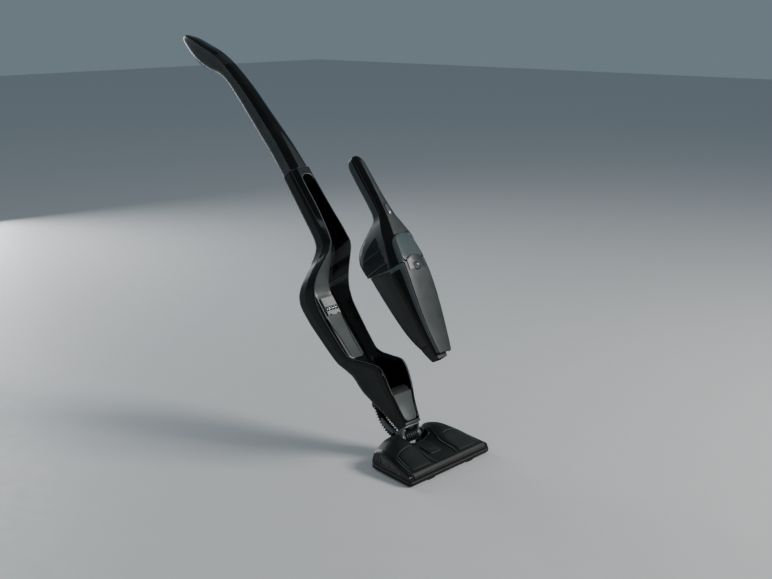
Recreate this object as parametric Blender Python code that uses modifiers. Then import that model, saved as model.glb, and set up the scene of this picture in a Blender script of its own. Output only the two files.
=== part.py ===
"""Cordless stick vacuum with a lift-out hand unit, leaning back on its floor head.

Lengths are in millimetres inside this file and are scaled to metres when a mesh is made.
World frame: X across the floor head, -Y its front edge, +Z up, floor at Z = 0.
Stick frame: origin on the neck pivot, Z along the stick, -Y its front face.
"""

import math

import bmesh
import bpy
import numpy as np
from mathutils import Matrix, Vector

MM = 0.001
GAP = 0.3
WALL = 2.2

# Posture: the neck pivot sits in the head's rear valley and the stick leans back from it.
PIVOT_Y = 40.0
PIVOT_Z = 45.0
LEAN_DEG = 36.5
STEER_Y = -10.0
UNDOCK = 150.0

# Floor head plan: it is widest at the front and tapers to the rear.
HEAD_FRONT = -72.5
HEAD_REAR = 57.0
HALF_FRONT = 130.0
HALF_REAR = 101.0
BASE_Z = 4.0
BASE_T = 3.0
SKIRT_TOP = 13.0
LIP_Z = 23.0
END_S = 0.93
CREST = [(0, 37), (0.2, 38), (0.32, 47), (0.43, 57), (0.54, 61), (0.7, 59), (0.86, 51), (1, 42)]

# Brush, wheels and drive of the floor head.
BRUSH_Y = -37.0
BRUSH_Z = 10.6
BRUSH_R = 10.0
CORE_R = 5.6
BRUSH_HALF = 88.0
WHEEL_R = 12.0
WHEEL_Y = 38.0
WHEEL_X = 78.0
MOTOR_Y = 6.0
MOTOR_Z = 24.0
BELT_X = 97.0
NOTCH_HALF = 15.0

# Stick stations, each (height, value) in the stick frame.
STICK_BOTTOM = 24.0
CUP_TOP = 198.0
STICK_TOP = 603.0
CUP_FLOOR_Z = 86.0
RIM_FRONT = [(24, -28), (60, -33), (100, -42.5), (135, -48), (146, -46), (170, -20), (190, 4),
             (205, 14), (260, 18.5), (310, 20), (340, 14.5), (360, 3), (380, -18), (400, -50),
             (412, -68), (425, -76.5), (460, -79), (500, -78.5), (560, -76.5), (603, -75)]
BODY_HALF = [(24, 25), (60, 31), (100, 38.5), (140, 41), (180, 43), (205, 48), (260, 52), (310, 55),
             (340, 56), (362, 55), (380, 51.5), (400, 42), (412, 35), (430, 29.5), (460, 27.5),
             (520, 26.5), (603, 25.5)]
RIM_OUT = [(24, 23.5), (60, 29.5), (100, 37), (140, 39.5), (180, 41.8), (205, 47), (260, 51), (310, 54),
           (340, 55), (362, 54), (380, 50), (400, 40), (412, 33), (430, 27), (460, 23.5), (500, 20),
           (540, 18.5), (603, 18)]
RIM_IN = [(24, 20), (60, 25.5), (100, 33), (140, 35.5), (180, 39), (205, 45), (260, 49), (310, 52),
          (340, 53), (362, 51.5), (380, 47.5), (400, 38), (412, 31.5), (430, 25.6), (460, 22.2),
          (500, 18.8), (540, 17.6), (603, 17)]
CORNER_Y = [(24, 1.6), (140, 1.8), (200, 1.8), (340, 2), (400, 3), (412, 4), (430, 8), (460, 12), (603, 12)]
FLOOR_HALF = [(24, 14), (60, 18), (100, 27), (140, 28), (205, 25), (340, 26), (380, 27), (400, 25),
              (412, 23), (430, 19.5), (460, 18), (540, 16.4), (603, 16)]
FLOOR_Y = [(24, -8), (60, 3), (100, 17), (140, 23.5), (180, 29), (205, 33), (260, 38), (300, 40.6),
           (350, 40.6), (369, 36), (388, 21), (404, 0), (420, -22), (436, -34), (450, -36.5), (603, -36.5)]
SEAM_Y = [(24, -17), (60, -24), (100, -30), (140, -34), (152, -29), (170, -6), (188, 14), (205, 27),
          (260, 36), (310, 41), (345, 40), (365, 30), (385, 8), (400, -14), (414, -38), (430, -54),
          (460, -56), (603, -55)]
REAR_Y = [(24, 3), (60, 14), (103, 27.5), (128, 36), (155, 39.5), (200, 51.5), (268, 61), (318, 66),
          (345, 66.5), (366, 61), (384, 49), (400, 31), (414, 8), (428, -15), (440, -26.5), (460, -31),
          (520, -30.5), (603, -29.5)]
REAR_R = [(24, 12), (100, 20), (205, 26), (340, 28), (390, 22), (430, 14), (603, 12)]

# Upper shaft and grip.
SHAFT_BOTTOM = 604.0
GRIP_TOP = 1034.0
PAD_LOW = 899.0
PAD_HIGH = 934.0
SHAFT_SEAM = [(604, -64), (660, -61), (700, -56.7), (740, -51), (780, -45.5), (820, -39.5), (860, -31),
              (900, -20.5), (940, -4), (980, 21), (1005, 37), (1022, 50), (1034, 60)]
SHAFT_HALF = [(604, 25.5), (660, 23.5), (700, 22), (780, 19.5), (860, 18.5), (900, 17.5), (940, 16.5),
              (980, 15.5), (1005, 13.5), (1022, 10.5), (1034, 5.5)]
SHAFT_REAR = [(604, -29.5), (660, -26), (715, -19), (761, -14), (805, -9.5), (856, -4.5), (874, 0.5),
              (890, 8), (904, 17), (922, 32), (946, 47), (970, 57), (995, 63.5), (1015, 66.5), (1034, 67)]
SHAFT_CROWN = [(604, 11), (700, 8), (900, 7), (1005, 6), (1034, 3)]

# Hand unit in its docked place; its parent empty carries it forward by UNDOCK.
HAND_TOP = 541.0
HAND_LOW = 105.0
BELT_Z = 290.0
BIN_LOW = 131.0
HAND_HALF = [(105, 24), (120, 26.5), (146, 31), (191, 38.5), (240, 44), (275, 45.8), (310, 46), (335, 44.5),
             (350, 42), (364, 38), (376, 33.5), (388, 28), (398, 22.5), (408, 18.5), (420, 17), (440, 16),
             (480, 15.5), (520, 14.5), (534, 12.5), (541, 8.5)]
HAND_FRONT = [(105, -41.5), (146, -49.5), (191, -59.5), (237, -70), (275, -77), (310, -80), (350, -80.5),
              (420, -79), (480, -78), (520, -77), (534, -75), (541, -70.5)]
HAND_FACE = [(105, 19), (146, 26), (191, 31), (237, 33), (300, 31), (340, 26), (380, 17), (400, 12.5),
             (440, 8.5), (480, 6.5), (541, 4.5)]
HAND_CORNER = [(105, 6), (191, 12), (290, 18), (340, 16), (380, 9), (420, 7), (541, 4.5)]
HAND_SEAM = [(105, -31), (146, -33), (205, -42), (260, -46), (292, -50), (310, -57), (329, -63),
             (350, -68), (398, -68), (480, -66), (541, -64)]
HAND_REAR = [(290, 29), (310, 31.5), (335, 33), (350, 31), (364, 23.5), (376, 8), (388, -14), (398, -33),
             (408, -44.5), (420, -47), (480, -46), (520, -45.5), (534, -48), (541, -54)]
BIN_REAR = [(131, 1), (150, 8.5), (175, 15), (248, 24), (290, 29)]
SKIN = 1.4

# Heights at which each run of lofted pieces has its sections, shared so that seams stay parallel.
STICK_GRID = [24, 66, 86, 108, 126, 138, 148, 158, 170, 182, 198, 208, 224, 255, 290, 318, 338,
              352, 364, 376, 388, 398, 408, 418, 430, 444, 470, 520, 571, 603]
SHAFT_GRID = [604, 660, 715, 765, 815, 860, 880, 899, 916, 934, 958, 982, 1004, 1018, 1027, 1034]
HAND_GRID = [105, 131, 148, 175, 205, 240, 270, 290, 310, 330, 344, 356, 367, 377, 387, 397, 408,
             420, 460, 505, 528, 536, 541]

BLACK = (0.012, 0.012, 0.011)
DARK = (0.035, 0.038, 0.036)
GREY = (0.16, 0.18, 0.18)
SATIN = (0.32, 0.33, 0.33)
PALE = (0.42, 0.44, 0.44)
SMOKE = (0.05, 0.05, 0.05)
STEEL = (0.6, 0.6, 0.6)


def clear_scene():
    """Empties the startup scene."""
    for obj in list(bpy.data.objects):
        bpy.data.objects.remove(obj, do_unlink=True)


def collection(name, helper=False):
    """A collection in the scene; a helper one is kept out of the render."""
    made = bpy.data.collections.new(name)
    bpy.context.scene.collection.children.link(made)
    made.hide_render = helper
    return made


def frame(name, location, parent=None, tilt=0.0):
    """An empty that carries one moving group, placed on its joint axis."""
    empty = bpy.data.objects.new(name, None)
    empty.location = Vector(location) * MM
    empty.rotation_euler = (math.radians(tilt), 0, 0)
    empty.parent = parent
    PARTS.objects.link(empty)
    return empty


def paint(obj, colour, rough, metal=0.0, alpha=1.0):
    """One Principled material for one object."""
    mat = bpy.data.materials.new(obj.name)
    mat.use_nodes = True
    shader = mat.node_tree.nodes["Principled BSDF"]
    shader.inputs["Base Color"].default_value = (*colour, 1)
    shader.inputs["Roughness"].default_value = rough
    shader.inputs["Metallic"].default_value = metal
    shader.inputs["Alpha"].default_value = alpha
    obj.data.materials.clear()
    obj.data.materials.append(mat)


def add(name, bm, parent, look=None, cutter=False):
    """Turns a bmesh in millimetres into an object of the right collection."""
    bmesh.ops.recalc_face_normals(bm, faces=bm.faces)
    bmesh.ops.scale(bm, vec=(MM, MM, MM), verts=bm.verts)
    mesh = bpy.data.meshes.new(name)
    bm.to_mesh(mesh)
    bm.free()
    obj = bpy.data.objects.new(name, mesh)
    obj.parent = parent
    (CUTTERS if cutter else PARTS).objects.link(obj)
    if cutter:
        obj.hide_render = True
        obj.display_type = "WIRE"
    if look:
        paint(obj, *look)
    return obj


def boolean(obj, other, operation="DIFFERENCE"):
    """Adds an exact Boolean of another object."""
    mod = obj.modifiers.new(f"{operation.lower()}_{other.name}", "BOOLEAN")
    mod.operation = operation
    mod.solver = "EXACT"
    mod.object = other
    return obj


def bevel(obj, width, segments=1, angle=35):
    """Rounds the sharp edges of an object."""
    mod = obj.modifiers.new("edge", "BEVEL")
    mod.width = width * MM
    mod.segments = segments
    mod.limit_method = "ANGLE"
    mod.angle_limit = math.radians(angle)
    return obj


def smooth(table, at):
    """A smooth value at one station of a (position, value) table, with no overshoot."""
    x = np.array([row[0] for row in table], float)
    y = np.array([row[1] for row in table], float)
    at = min(max(at, x[0]), x[-1])
    step = np.diff(x)
    slope = np.diff(y) / step
    ends = np.concatenate([[slope[0]], slope, [slope[-1]]])
    product = ends[:-1] * ends[1:]
    tangent = np.where(product > 0, 2 * product / (ends[:-1] + ends[1:] + 1e-12 * (product <= 0)), 0.0)
    i = min(int(np.searchsorted(x, at, side="right")) - 1, len(step) - 1)
    t = (at - x[i]) / step[i]
    rise = (1 + 2 * t) * (1 - t) ** 2 * y[i] + t * t * (3 - 2 * t) * y[i + 1]
    return float(rise + step[i] * (t * (1 - t) ** 2 * tangent[i] - t * t * (1 - t) * tangent[i + 1]))


def rounded(points, radii, parts=2):
    """Rounds the corners of an open path; the count of points never changes with the radii."""
    made = []
    for i, (corner, radius) in enumerate(zip(points, radii)):
        corner = np.array(corner, float)
        if not radius:
            made.append(corner)
            continue
        before = np.array(points[i - 1], float) - corner
        after = np.array(points[(i + 1) % len(points)], float) - corner
        reach = min(radius, 0.45 * np.linalg.norm(before), 0.45 * np.linalg.norm(after))
        start = corner + before / np.linalg.norm(before) * reach
        end = corner + after / np.linalg.norm(after) * reach
        for k in range(parts + 1):
            t = k / parts
            made.append((1 - t) ** 2 * start + 2 * t * (1 - t) * corner + t * t * end)
    return made


def inset(points, depth):
    """Moves an open path sideways by depth, to its left as it runs."""
    points = [np.array(p, float) for p in points]
    made = []
    for i, point in enumerate(points):
        runs = []
        if i:
            runs.append(point - points[i - 1])
        if i < len(points) - 1:
            runs.append(points[i + 1] - point)
        normals = [np.array([-r[1], r[0]]) / np.linalg.norm(r) for r in runs]
        if len(normals) == 1:
            made.append(point + normals[0] * depth)
        else:
            made.append(point + (normals[0] + normals[1]) * depth / (1 + normals[0] @ normals[1]))
    return made


def shell_ring(points, radii, depth, parts=2):
    """The closed outline of a wall that follows an open path."""
    inner = inset(points, depth)
    return rounded(points, radii, parts) + rounded(inner, radii, parts)[::-1]


def loft(name, rings, parent, look=None, cutter=False):
    """A closed solid through rings of equal length."""
    bm = bmesh.new()
    rows = [[bm.verts.new(p) for p in ring] for ring in rings]
    count = len(rows[0])
    for low, high in zip(rows, rows[1:]):
        for i in range(count):
            j = (i + 1) % count
            bm.faces.new((low[i], low[j], high[j], high[i]))
    bm.faces.new(rows[0][::-1])
    bm.faces.new(rows[-1])
    return add(name, bm, parent, look, cutter)


def level(outline, z):
    """A plan outline placed at one height."""
    return [(p[0], p[1], z) for p in outline]


def prism(name, outline, low, high, parent, look=None, cutter=False):
    """A plan outline raised from one height to another."""
    return loft(name, [level(outline, low), level(outline, high)], parent, look, cutter)


def block(name, low, high, parent, look=None, cutter=False):
    """A box between two corners."""
    bm = bmesh.new()
    size = Vector(high) - Vector(low)
    middle = (Vector(high) + Vector(low)) / 2
    bmesh.ops.create_cube(bm, size=1, matrix=Matrix.Translation(middle) @ Matrix.Diagonal((*size, 1)))
    return add(name, bm, parent, look, cutter)


def axis_matrix(centre, axis):
    """Places a shape made along Z so that it runs along another axis."""
    turn = Vector((0, 0, 1)).rotation_difference(Vector(axis)).to_matrix().to_4x4()
    return Matrix.Translation(Vector(centre)) @ turn


def drum(bm, centre, axis, radius, length, sides=24, end_radius=None):
    """Adds a cylinder or a cone frustum to a bmesh."""
    bmesh.ops.create_cone(
        bm, cap_ends=True, segments=sides, radius1=radius, depth=length,
        radius2=radius if end_radius is None else end_radius, matrix=axis_matrix(centre, axis),
    )
    return bm


def cylinder(name, centre, axis, radius, length, parent, look=None, cutter=False, sides=24):
    """A cylinder centred on a point."""
    bm = drum(bmesh.new(), centre, axis, radius, length, sides)
    return add(name, bm, parent, look, cutter)


def turned(name, profile, centre, axis, parent, look=None, sides=24):
    """A solid of revolution from (along, radius) pairs that start and end on the axis."""
    bm = bmesh.new()
    place = axis_matrix(centre, axis)
    first = bm.verts.new(place @ Vector((0, 0, profile[0][0])))
    last = bm.verts.new(place @ Vector((0, 0, profile[-1][0])))
    rows = []
    for along, radius in profile[1:-1]:
        turn = [2 * math.pi * k / sides for k in range(sides)]
        rows.append([bm.verts.new(place @ Vector((radius * math.cos(a), radius * math.sin(a), along)))
                     for a in turn])
    for i in range(sides):
        j = (i + 1) % sides
        bm.faces.new((first, rows[0][j], rows[0][i]))
        bm.faces.new((last, rows[-1][i], rows[-1][j]))
        for low, high in zip(rows, rows[1:]):
            bm.faces.new((low[i], low[j], high[j], high[i]))
    return add(name, bm, parent, look)


def heights(grid, low, high):
    """The grid's heights between two ends, with the ends themselves."""
    return [low] + [z for z in grid if low + 2 < z < high - 2] + [high]


# ---------------------------------------------------------------- floor head


def head_half(y):
    """Half the head's width at one depth."""
    return HALF_FRONT + (HALF_REAR - HALF_FRONT) * (y - HEAD_FRONT) / (HEAD_REAR - HEAD_FRONT)


def head_outline(margin, corner=9.0):
    """The head's rounded plan outline, drawn in by a margin."""
    front = HEAD_FRONT + margin
    rear = HEAD_REAR - margin
    wide = head_half(front) - margin
    narrow = head_half(rear) - margin
    points = [(-wide, front), (wide, front), (narrow, rear), (-narrow, rear)]
    return rounded(points, [corner] * 4, 3)


def crest(s):
    """Height of the head's ridge at one station: a hump on either side of the middle valley."""
    return smooth(CREST, abs(s))


def deck(s):
    """The head's top line at one station, from the front lip to the rear wall."""
    top = crest(s)
    return [(HEAD_FRONT + 3.5, SKIRT_TOP + GAP), (HEAD_FRONT + 6, LIP_Z - 3), (HEAD_FRONT + 12.5, LIP_Z),
            (-30, LIP_Z + 0.38 * (top - LIP_Z)), (2, LIP_Z + 0.86 * (top - LIP_Z)), (22, top),
            (HEAD_REAR - 9, top - 4), (HEAD_REAR - 2.5, 0.45 * top), (HEAD_REAR - 2, SKIRT_TOP + GAP)]


def spread(path, s):
    """Carries a (depth, height) path out to one station across the head."""
    return [(s * (head_half(y) - 2.5), y, z) for y, z in path]


DECK_RADII = [0, 3, 4, 12, 12, 14, 8, 6, 0]


def add_head_shell():
    """The upper shell, open below, with openings for the neck and the pedal."""
    rings = []
    for s in even(-END_S, END_S, 14):
        rings.append(spread(shell_ring(deck(s), DECK_RADII, -WALL, 2), s))
    shell = loft("head_shell", rings, None, (DARK, 0.45))
    boolean(shell, block("cut_neck", (-38, 17, 9), (38, 80, 90), None, cutter=True))
    boolean(shell, block("cut_pedal", (-19, -33.6, 15), (19, -1.4, 60), None, cutter=True))


def even(low, high, count):
    """Even stations across the head."""
    return [float(v) for v in np.linspace(low, high, count + 1)]


def add_end_caps():
    """Gloss end pieces, each with a two-pane side window let into it."""
    for side, tag in ((-1, "L"), (1, "R")):
        rings = []
        for s in (END_S + 0.0025, 0.975, 1.0):
            path = deck(s)
            if s == 1.0:
                path = [(y * 0.985, z - (1.5 if z > 20 else 0)) for y, z in path]
            rings.append(spread(rounded(path, DECK_RADII, 2), side * s))
        cap = loft(f"end_cap_{tag}", rings, None, (BLACK, 0.2))
        path = [(-40, 17), (28, 17), (28, 34), (-8, 30)]
        out = rounded(path, [3, 3, 5, 8], 2)
        deep = [(side * (head_half(y) - 4.7), y, z) for y, z in out]
        past = [(side * (head_half(y) + 4), y, z) for y, z in out]
        boolean(cap, loft(f"cut_window_{tag}", [deep, past], None, cutter=True))
        trimmed = rounded([(-36.6, 17.8), (27.2, 17.8), (27.2, 33.0), (-8, 28.9)], [3, 3, 5, 8], 2)
        back = [(side * (head_half(y) - 4.4), y, z) for y, z in trimmed]
        face = [(side * (head_half(y) - 2.9), y, z) for y, z in trimmed]
        loft(f"side_window_{tag}", [back, face], None, (SMOKE, 0.15, 0.0, 0.55))


def deck_path(s, start, end, count):
    """Points of the finished deck line between two depths at one station."""
    line = rounded(deck(s), DECK_RADII, 4)
    ys = [p[0] for p in line]
    zs = [p[1] for p in line]
    keep = [i for i in range(len(ys)) if i < 1 or ys[i] > ys[i - 1]]
    depths = np.linspace(start, end, count)
    return [(float(y), float(np.interp(y, [ys[i] for i in keep], [zs[i] for i in keep]))) for y in depths]


def add_deck_panels():
    """Raised panels on the two front slopes."""
    for side, tag in ((-1, "L"), (1, "R")):
        rings = []
        for s in even(0.40, 0.84, 6):
            path = deck_path(s, -56, 4 - 22 * max(0.0, s - 0.62), 7)
            low = [(side * s * (head_half(y) - 2.5), y, z + 0.6) for y, z in path]
            top = [(side * s * (head_half(y) - 2.5), y, z + 1.9) for y, z in path]
            rings.append(low + top[::-1])
        loft(f"deck_panel_{tag}", rings, None, (GREY, 0.5))


def add_front_lip():
    """A light strip along the front edge, above the skirt."""
    rings = []
    for s in even(-0.9, 0.9, 6):
        foot, bend = (HEAD_FRONT + 2.6, SKIRT_TOP + 1), (HEAD_FRONT + 4.6, LIP_Z - 3.6)
        path = [foot, bend, (HEAD_FRONT + 8, LIP_Z - 0.2)]
        out = [(y - 1.2, z + 0.7) for y, z in path]
        rings.append(spread(path + out[::-1], s))
    loft("front_lip", rings, None, (GREY, 0.4))


def add_skirt():
    """The soft bumper band around the foot of the shell."""
    skirt = prism("bumper_skirt", head_outline(0), 2.5, SKIRT_TOP, None, (DARK, 0.6))
    boolean(skirt, prism("cut_skirt", head_outline(3.2, 7), -5, 30, None, cutter=True))
    boolean(skirt, hose_notch("cut_skirt_notch"))


def hose_notch(name):
    """The gap in the rear edge that lets the hose elbow swing down as the stick leans back."""
    low = (-NOTCH_HALF, PIVOT_Y - 13, -5)
    return block(name, low, (NOTCH_HALF, HEAD_REAR + 10, 30), None, cutter=True)


def add_base_plate():
    """The sole plate with its brush window, wheel wells and the lugs that hold the pins."""
    plate = prism("base_plate", head_outline(3.6, 7), BASE_Z, BASE_Z + BASE_T, None, (DARK, 0.55))
    for k, side in enumerate((-1, 1)):
        lug = block(f"lug_pivot_{k}", (side * 33.5 - 3, 31, BASE_Z + 1),
                    (side * 33.5 + 3, 49, 54), None, cutter=True)
        boolean(plate, lug, "UNION")
        for m, x in enumerate((WHEEL_X - 9, WHEEL_X + 9)):
            lug = block(f"lug_wheel_{k}{m}", (side * x - 2, WHEEL_Y - 6, BASE_Z + 1),
                        (side * x + 2, WHEEL_Y + 6, WHEEL_R + 6), None, cutter=True)
            boolean(plate, lug, "UNION")
        well = block(f"cut_well_{k}", (side * WHEEL_X - 6, WHEEL_Y - 13.5, 0),
                     (side * WHEEL_X + 6, WHEEL_Y + 13.5, 9), None, cutter=True)
        boolean(plate, well)
    boolean(plate, hose_notch("cut_plate_notch"))
    boolean(plate, block("cut_brush", (-112, -50.5, 0), (112, -23.5, 9), None, cutter=True))
    boolean(plate, cylinder("cut_pin", (0, PIVOT_Y, PIVOT_Z), (1, 0, 0), 3.15, 90, None, cutter=True))
    boolean(plate, cylinder("cut_axle", (0, WHEEL_Y, WHEEL_R), (1, 0, 0), 2.15, 230, None, cutter=True))
    block("glide_pad", (-24, -9, 0), (24, 9, BASE_Z - GAP), None, (BLACK, 0.7))
    cylinder("hinge_pin", (0, PIVOT_Y, PIVOT_Z), (1, 0, 0), 3.0, 72.6, None, (STEEL, 0.3, 1.0))


def add_wheels():
    """Two rear wheels, each with its own stub axle."""
    for side, tag in ((-1, "L"), (1, "R")):
        half = 5.0
        profile = [(-11.5, 0), (-11.5, 2), (-half, 2), (-half, 7), (-half + 1, WHEEL_R - 1.2),
                   (-half + 2, WHEEL_R), (half - 2, WHEEL_R), (half - 1, WHEEL_R - 1.2), (half, 7),
                   (half, 2), (11.5, 2), (11.5, 0)]
        hub = frame(f"wheel_axis_{tag}", (side * WHEEL_X, WHEEL_Y, WHEEL_R))
        turned(f"rear_wheel_{tag}", profile, (0, 0, 0), (1, 0, 0), hub, (BLACK, 0.6))


def add_pedal():
    """The foot pedal plate in the valley, hinged at its rear edge."""
    hinge = frame("pedal_axis", (0, -3.4, 33))
    outline = rounded([(-18, -29.4), (18, -29.4), (18, 0.9), (-18, 0.9)], [5, 5, 2, 2], 2)
    slope = 0.2
    rings = []
    for shrink, height in ((1.0, -2.2), (1.0, 2.6), (0.93, 3.6)):
        drop = 0.9 * (1 - shrink)
        rings.append([(p[0] * shrink, p[1] * shrink - drop, slope * p[1] + height) for p in outline])
    loft("foot_pedal", rings, hinge, (GREY, 0.4))


def add_brush():
    """The brush roll: a core with end journals and two bristle rows wound round it."""
    axis = frame("brush_axis", (0, BRUSH_Y, BRUSH_Z))
    end = BRUSH_HALF + 3
    profile = [(-end - 5, 0), (-end - 5, 2.5), (-end, 2.5), (-end, CORE_R), (end, CORE_R), (end, 4.2),
               (BELT_X + 3.5, 4.2), (BELT_X + 3.5, 0)]
    turned("brush_core", profile, (0, 0, 0), (1, 0, 0), axis, (BLACK, 0.5), 16)
    bm = bmesh.new()
    steps = 18
    inner = CORE_R + GAP
    for start in (0.0, math.pi):
        rows = []
        for k in range(steps + 1):
            x = -BRUSH_HALF + 3 + (2 * BRUSH_HALF - 6) * k / steps
            turn = start + 1.5 * math.pi * k / steps
            row = []
            for radius, spreading in ((inner + 0.2, -0.2), (BRUSH_R, -0.12), (BRUSH_R, 0.12),
                                      (inner + 0.2, 0.2)):
                a = turn + spreading
                row.append(bm.verts.new((x, radius * math.cos(a), radius * math.sin(a))))
            rows.append(row)
        for low, high in zip(rows, rows[1:]):
            for i in range(4):
                j = (i + 1) % 4
                bm.faces.new((low[i], low[j], high[j], high[i]))
        bm.faces.new(rows[0][::-1])
        bm.faces.new(rows[-1])
    wound = add("brush_rows", bm, axis, cutter=True)
    ring = cylinder("bristles", (0, 0, 0), (1, 0, 0), inner + 1.6, 2 * BRUSH_HALF, axis, (GREY, 0.8))
    boolean(ring, wound, "UNION")
    boolean(ring, cylinder("cut_bristle_bore", (0, 0, 0), (1, 0, 0), inner, 220, axis, cutter=True, sides=16))


def add_chamber():
    """The curved duct wall over the brush, with its end walls."""
    outer = BRUSH_R + 2.5
    inner = BRUSH_R + 1.0
    arc = [math.radians(a) for a in range(-10, 191, 20)]
    path = [(BRUSH_Y + outer * math.cos(a), BRUSH_Z + outer * math.sin(a)) for a in arc]
    back = [(BRUSH_Y + inner * math.cos(a), BRUSH_Z + inner * math.sin(a)) for a in arc[::-1]]
    rings = [[(x, y, z) for y, z in path + back] for x in (-BRUSH_HALF - 2, BRUSH_HALF + 2)]
    loft("brush_chamber", rings, None, (BLACK, 0.5))


def belt_path(r1, r2, parts=8):
    """The outline of a belt round the brush pulley and the motor pulley."""
    a = np.array([BRUSH_Y, BRUSH_Z])
    b = np.array([MOTOR_Y, MOTOR_Z])
    run = b - a
    heading = math.atan2(run[1], run[0])
    lean = math.acos((r1 - r2) / np.linalg.norm(run))
    made = []
    for k in range(parts + 1):
        t = heading + lean + (2 * math.pi - 2 * lean) * k / parts
        made.append((a[0] + r1 * math.cos(t), a[1] + r1 * math.sin(t)))
    for k in range(parts + 1):
        t = heading - lean + 2 * lean * k / parts
        made.append((b[0] + r2 * math.cos(t), b[1] + r2 * math.sin(t)))
    return made


def add_drive():
    """The brush motor, its pulley and the belt to the brush."""
    motor = cylinder("brush_motor", (66, MOTOR_Y, MOTOR_Z), (1, 0, 0), 13, 46, None, (STEEL, 0.35, 1.0))
    boolean(motor, cylinder("cut_motor_bore", (84, MOTOR_Y, MOTOR_Z), (1, 0, 0), 2.2, 20, None, cutter=True))
    bevel(motor, 1.5)
    shaft = frame("motor_axis", (BELT_X, MOTOR_Y, MOTOR_Z))
    profile = [(-17, 0), (-17, 2), (-3, 2), (-3, 4), (3, 4), (3, 0)]
    turned("motor_pulley", profile, (0, 0, 0), (1, 0, 0), shaft, (STEEL, 0.4, 1.0), 16)
    outer = belt_path(6.0, 5.9)
    inner = belt_path(4.6, 4.5)
    bm = bmesh.new()
    rows = []
    for x in (BELT_X - 2.5, BELT_X + 2.5):
        rows.append([bm.verts.new((x, y, z)) for y, z in outer])
        rows.append([bm.verts.new((x, y, z)) for y, z in inner])
    count = len(outer)
    for i in range(count):
        j = (i + 1) % count
        bm.faces.new((rows[0][i], rows[0][j], rows[2][j], rows[2][i]))
        bm.faces.new((rows[1][j], rows[1][i], rows[3][i], rows[3][j]))
        bm.faces.new((rows[0][j], rows[0][i], rows[1][i], rows[1][j]))
        bm.faces.new((rows[2][i], rows[2][j], rows[3][j], rows[3][i]))
    add("drive_belt", bm, None, (BLACK, 0.7))


# ---------------------------------------------------------------- neck and hose


def add_neck(neck):
    """The fork that pitches on the pin, its ribbed drum and the hose elbow behind it."""
    look = (PALE, 0.35)
    eyes = []
    for k, side in enumerate((-1, 1)):
        eyes.append(cylinder(f"eye_{k}", (side * 24.6, 0, 0), (1, 0, 0), 8.5, 8.4, neck, cutter=True))
        low = rounded([(side * 20.8, -7), (side * 28.5, -6), (side * 28.5, 6), (side * 20.8, 7)], [2] * 4, 2)
        top = [(side * 20.8, -20), (side * 27.6, -17), (side * 27.6, 7.6), (side * 20.8, 6)]
        top = rounded(top, [3] * 4, 2)
        eyes.append(loft(f"arm_{k}", [level(low, 0), level(top, 16.5)], neck, cutter=True))
    plate = rounded([(-28, -22), (28, -22), (28, 8), (-28, 8)], [12, 12, 5, 5], 4)
    yoke = prism("neck_yoke", plate, 14.6, 17.8, neck, look)
    for part in eyes:
        boolean(yoke, part, "UNION")
    boolean(yoke, cylinder("cut_yoke_pin", (0, 0, 0), (1, 0, 0), 3.15, 90, neck, cutter=True))
    bore = cylinder("cut_yoke_bore", (0, STEER_Y, 16), (0, 0, 1), 9.4, 30, neck, cutter=True, sides=32)
    boolean(yoke, bore)
    profile = [(-19.6, 0)]
    for k in range(6):
        x = -19.6 + 6.4 * k
        profile += [(x, 9.4), (x + 1.8, 11.6), (x + 4.4, 11.6), (x + 6.2, 9.4)]
    profile.append((profile[-1][0], 0))
    ribbed = turned("neck_drum", profile, (0, 0, 0), (1, 0, 0), neck, (BLACK, 0.6), 16)
    boolean(ribbed, cylinder("cut_drum_pin", (0, 0, 0), (1, 0, 0), 3.15, 90, neck, cutter=True, sides=16))
    elbow_points = [(34, 9.5), (34, 2), (29, -4.5), (22, -6), (12.4, -4.6)]
    radius = [9.6, 9.6, 9.6, 8.6, 5.4]
    add_bent_pipe("hose_elbow", elbow_points, radius, neck, (DARK, 0.5))


def add_bent_pipe(name, path, radii, parent, look, sides=20):
    """A hollow pipe through (depth, height) points in the middle plane."""
    path = [np.array(p, float) for p in path]
    rings = []
    for i, point in enumerate(path):
        run = path[min(i + 1, len(path) - 1)] - path[max(i - 1, 0)]
        run = run / np.linalg.norm(run)
        side = np.array([-run[1], run[0]])
        rings.append((point, side, radii[i]))
    bm = bmesh.new()
    rows = []
    for shrink, order in ((0.0, rings), (1.6, rings[::-1])):
        for point, side, radius in order:
            row = []
            for k in range(sides):
                a = 2 * math.pi * k / sides
                offset = side * (radius - shrink) * math.sin(a)
                x = (radius - shrink) * math.cos(a)
                row.append(bm.verts.new((x, point[0] + offset[0], point[1] + offset[1])))
            rows.append(row)
    rows.append(rows[0])
    for low, high in zip(rows, rows[1:]):
        for i in range(sides):
            j = (i + 1) % sides
            bm.faces.new((low[i], low[j], high[j], high[i]))
    return add(name, bm, parent, look)


def add_hose(neck):
    """The flexible hose from the cup's rear outlet down to the elbow, a plain tube here."""
    path = [(37.4, 87.2), (37.7, 76), (38.2, 60), (36.6, 40), (34, 24), (34, 10.4)]
    add_bent_pipe("suction_hose", path, [9.2] * 6, neck, (BLACK, 0.6))


# ---------------------------------------------------------------- stick


def spine_path(z):
    """The front body's wall at one height: outer sides, rim and the sunk dish."""
    body = smooth(BODY_HALF, z)
    front = smooth(RIM_FRONT, z)
    side = [(-body, smooth(SEAM_Y, z)), (-body, front + smooth(CORNER_Y, z)), (-smooth(RIM_OUT, z), front),
            (-smooth(RIM_IN, z), front), (-smooth(FLOOR_HALF, z), smooth(FLOOR_Y, z))]
    return side + [(-x, y) for x, y in side[::-1]]


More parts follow.
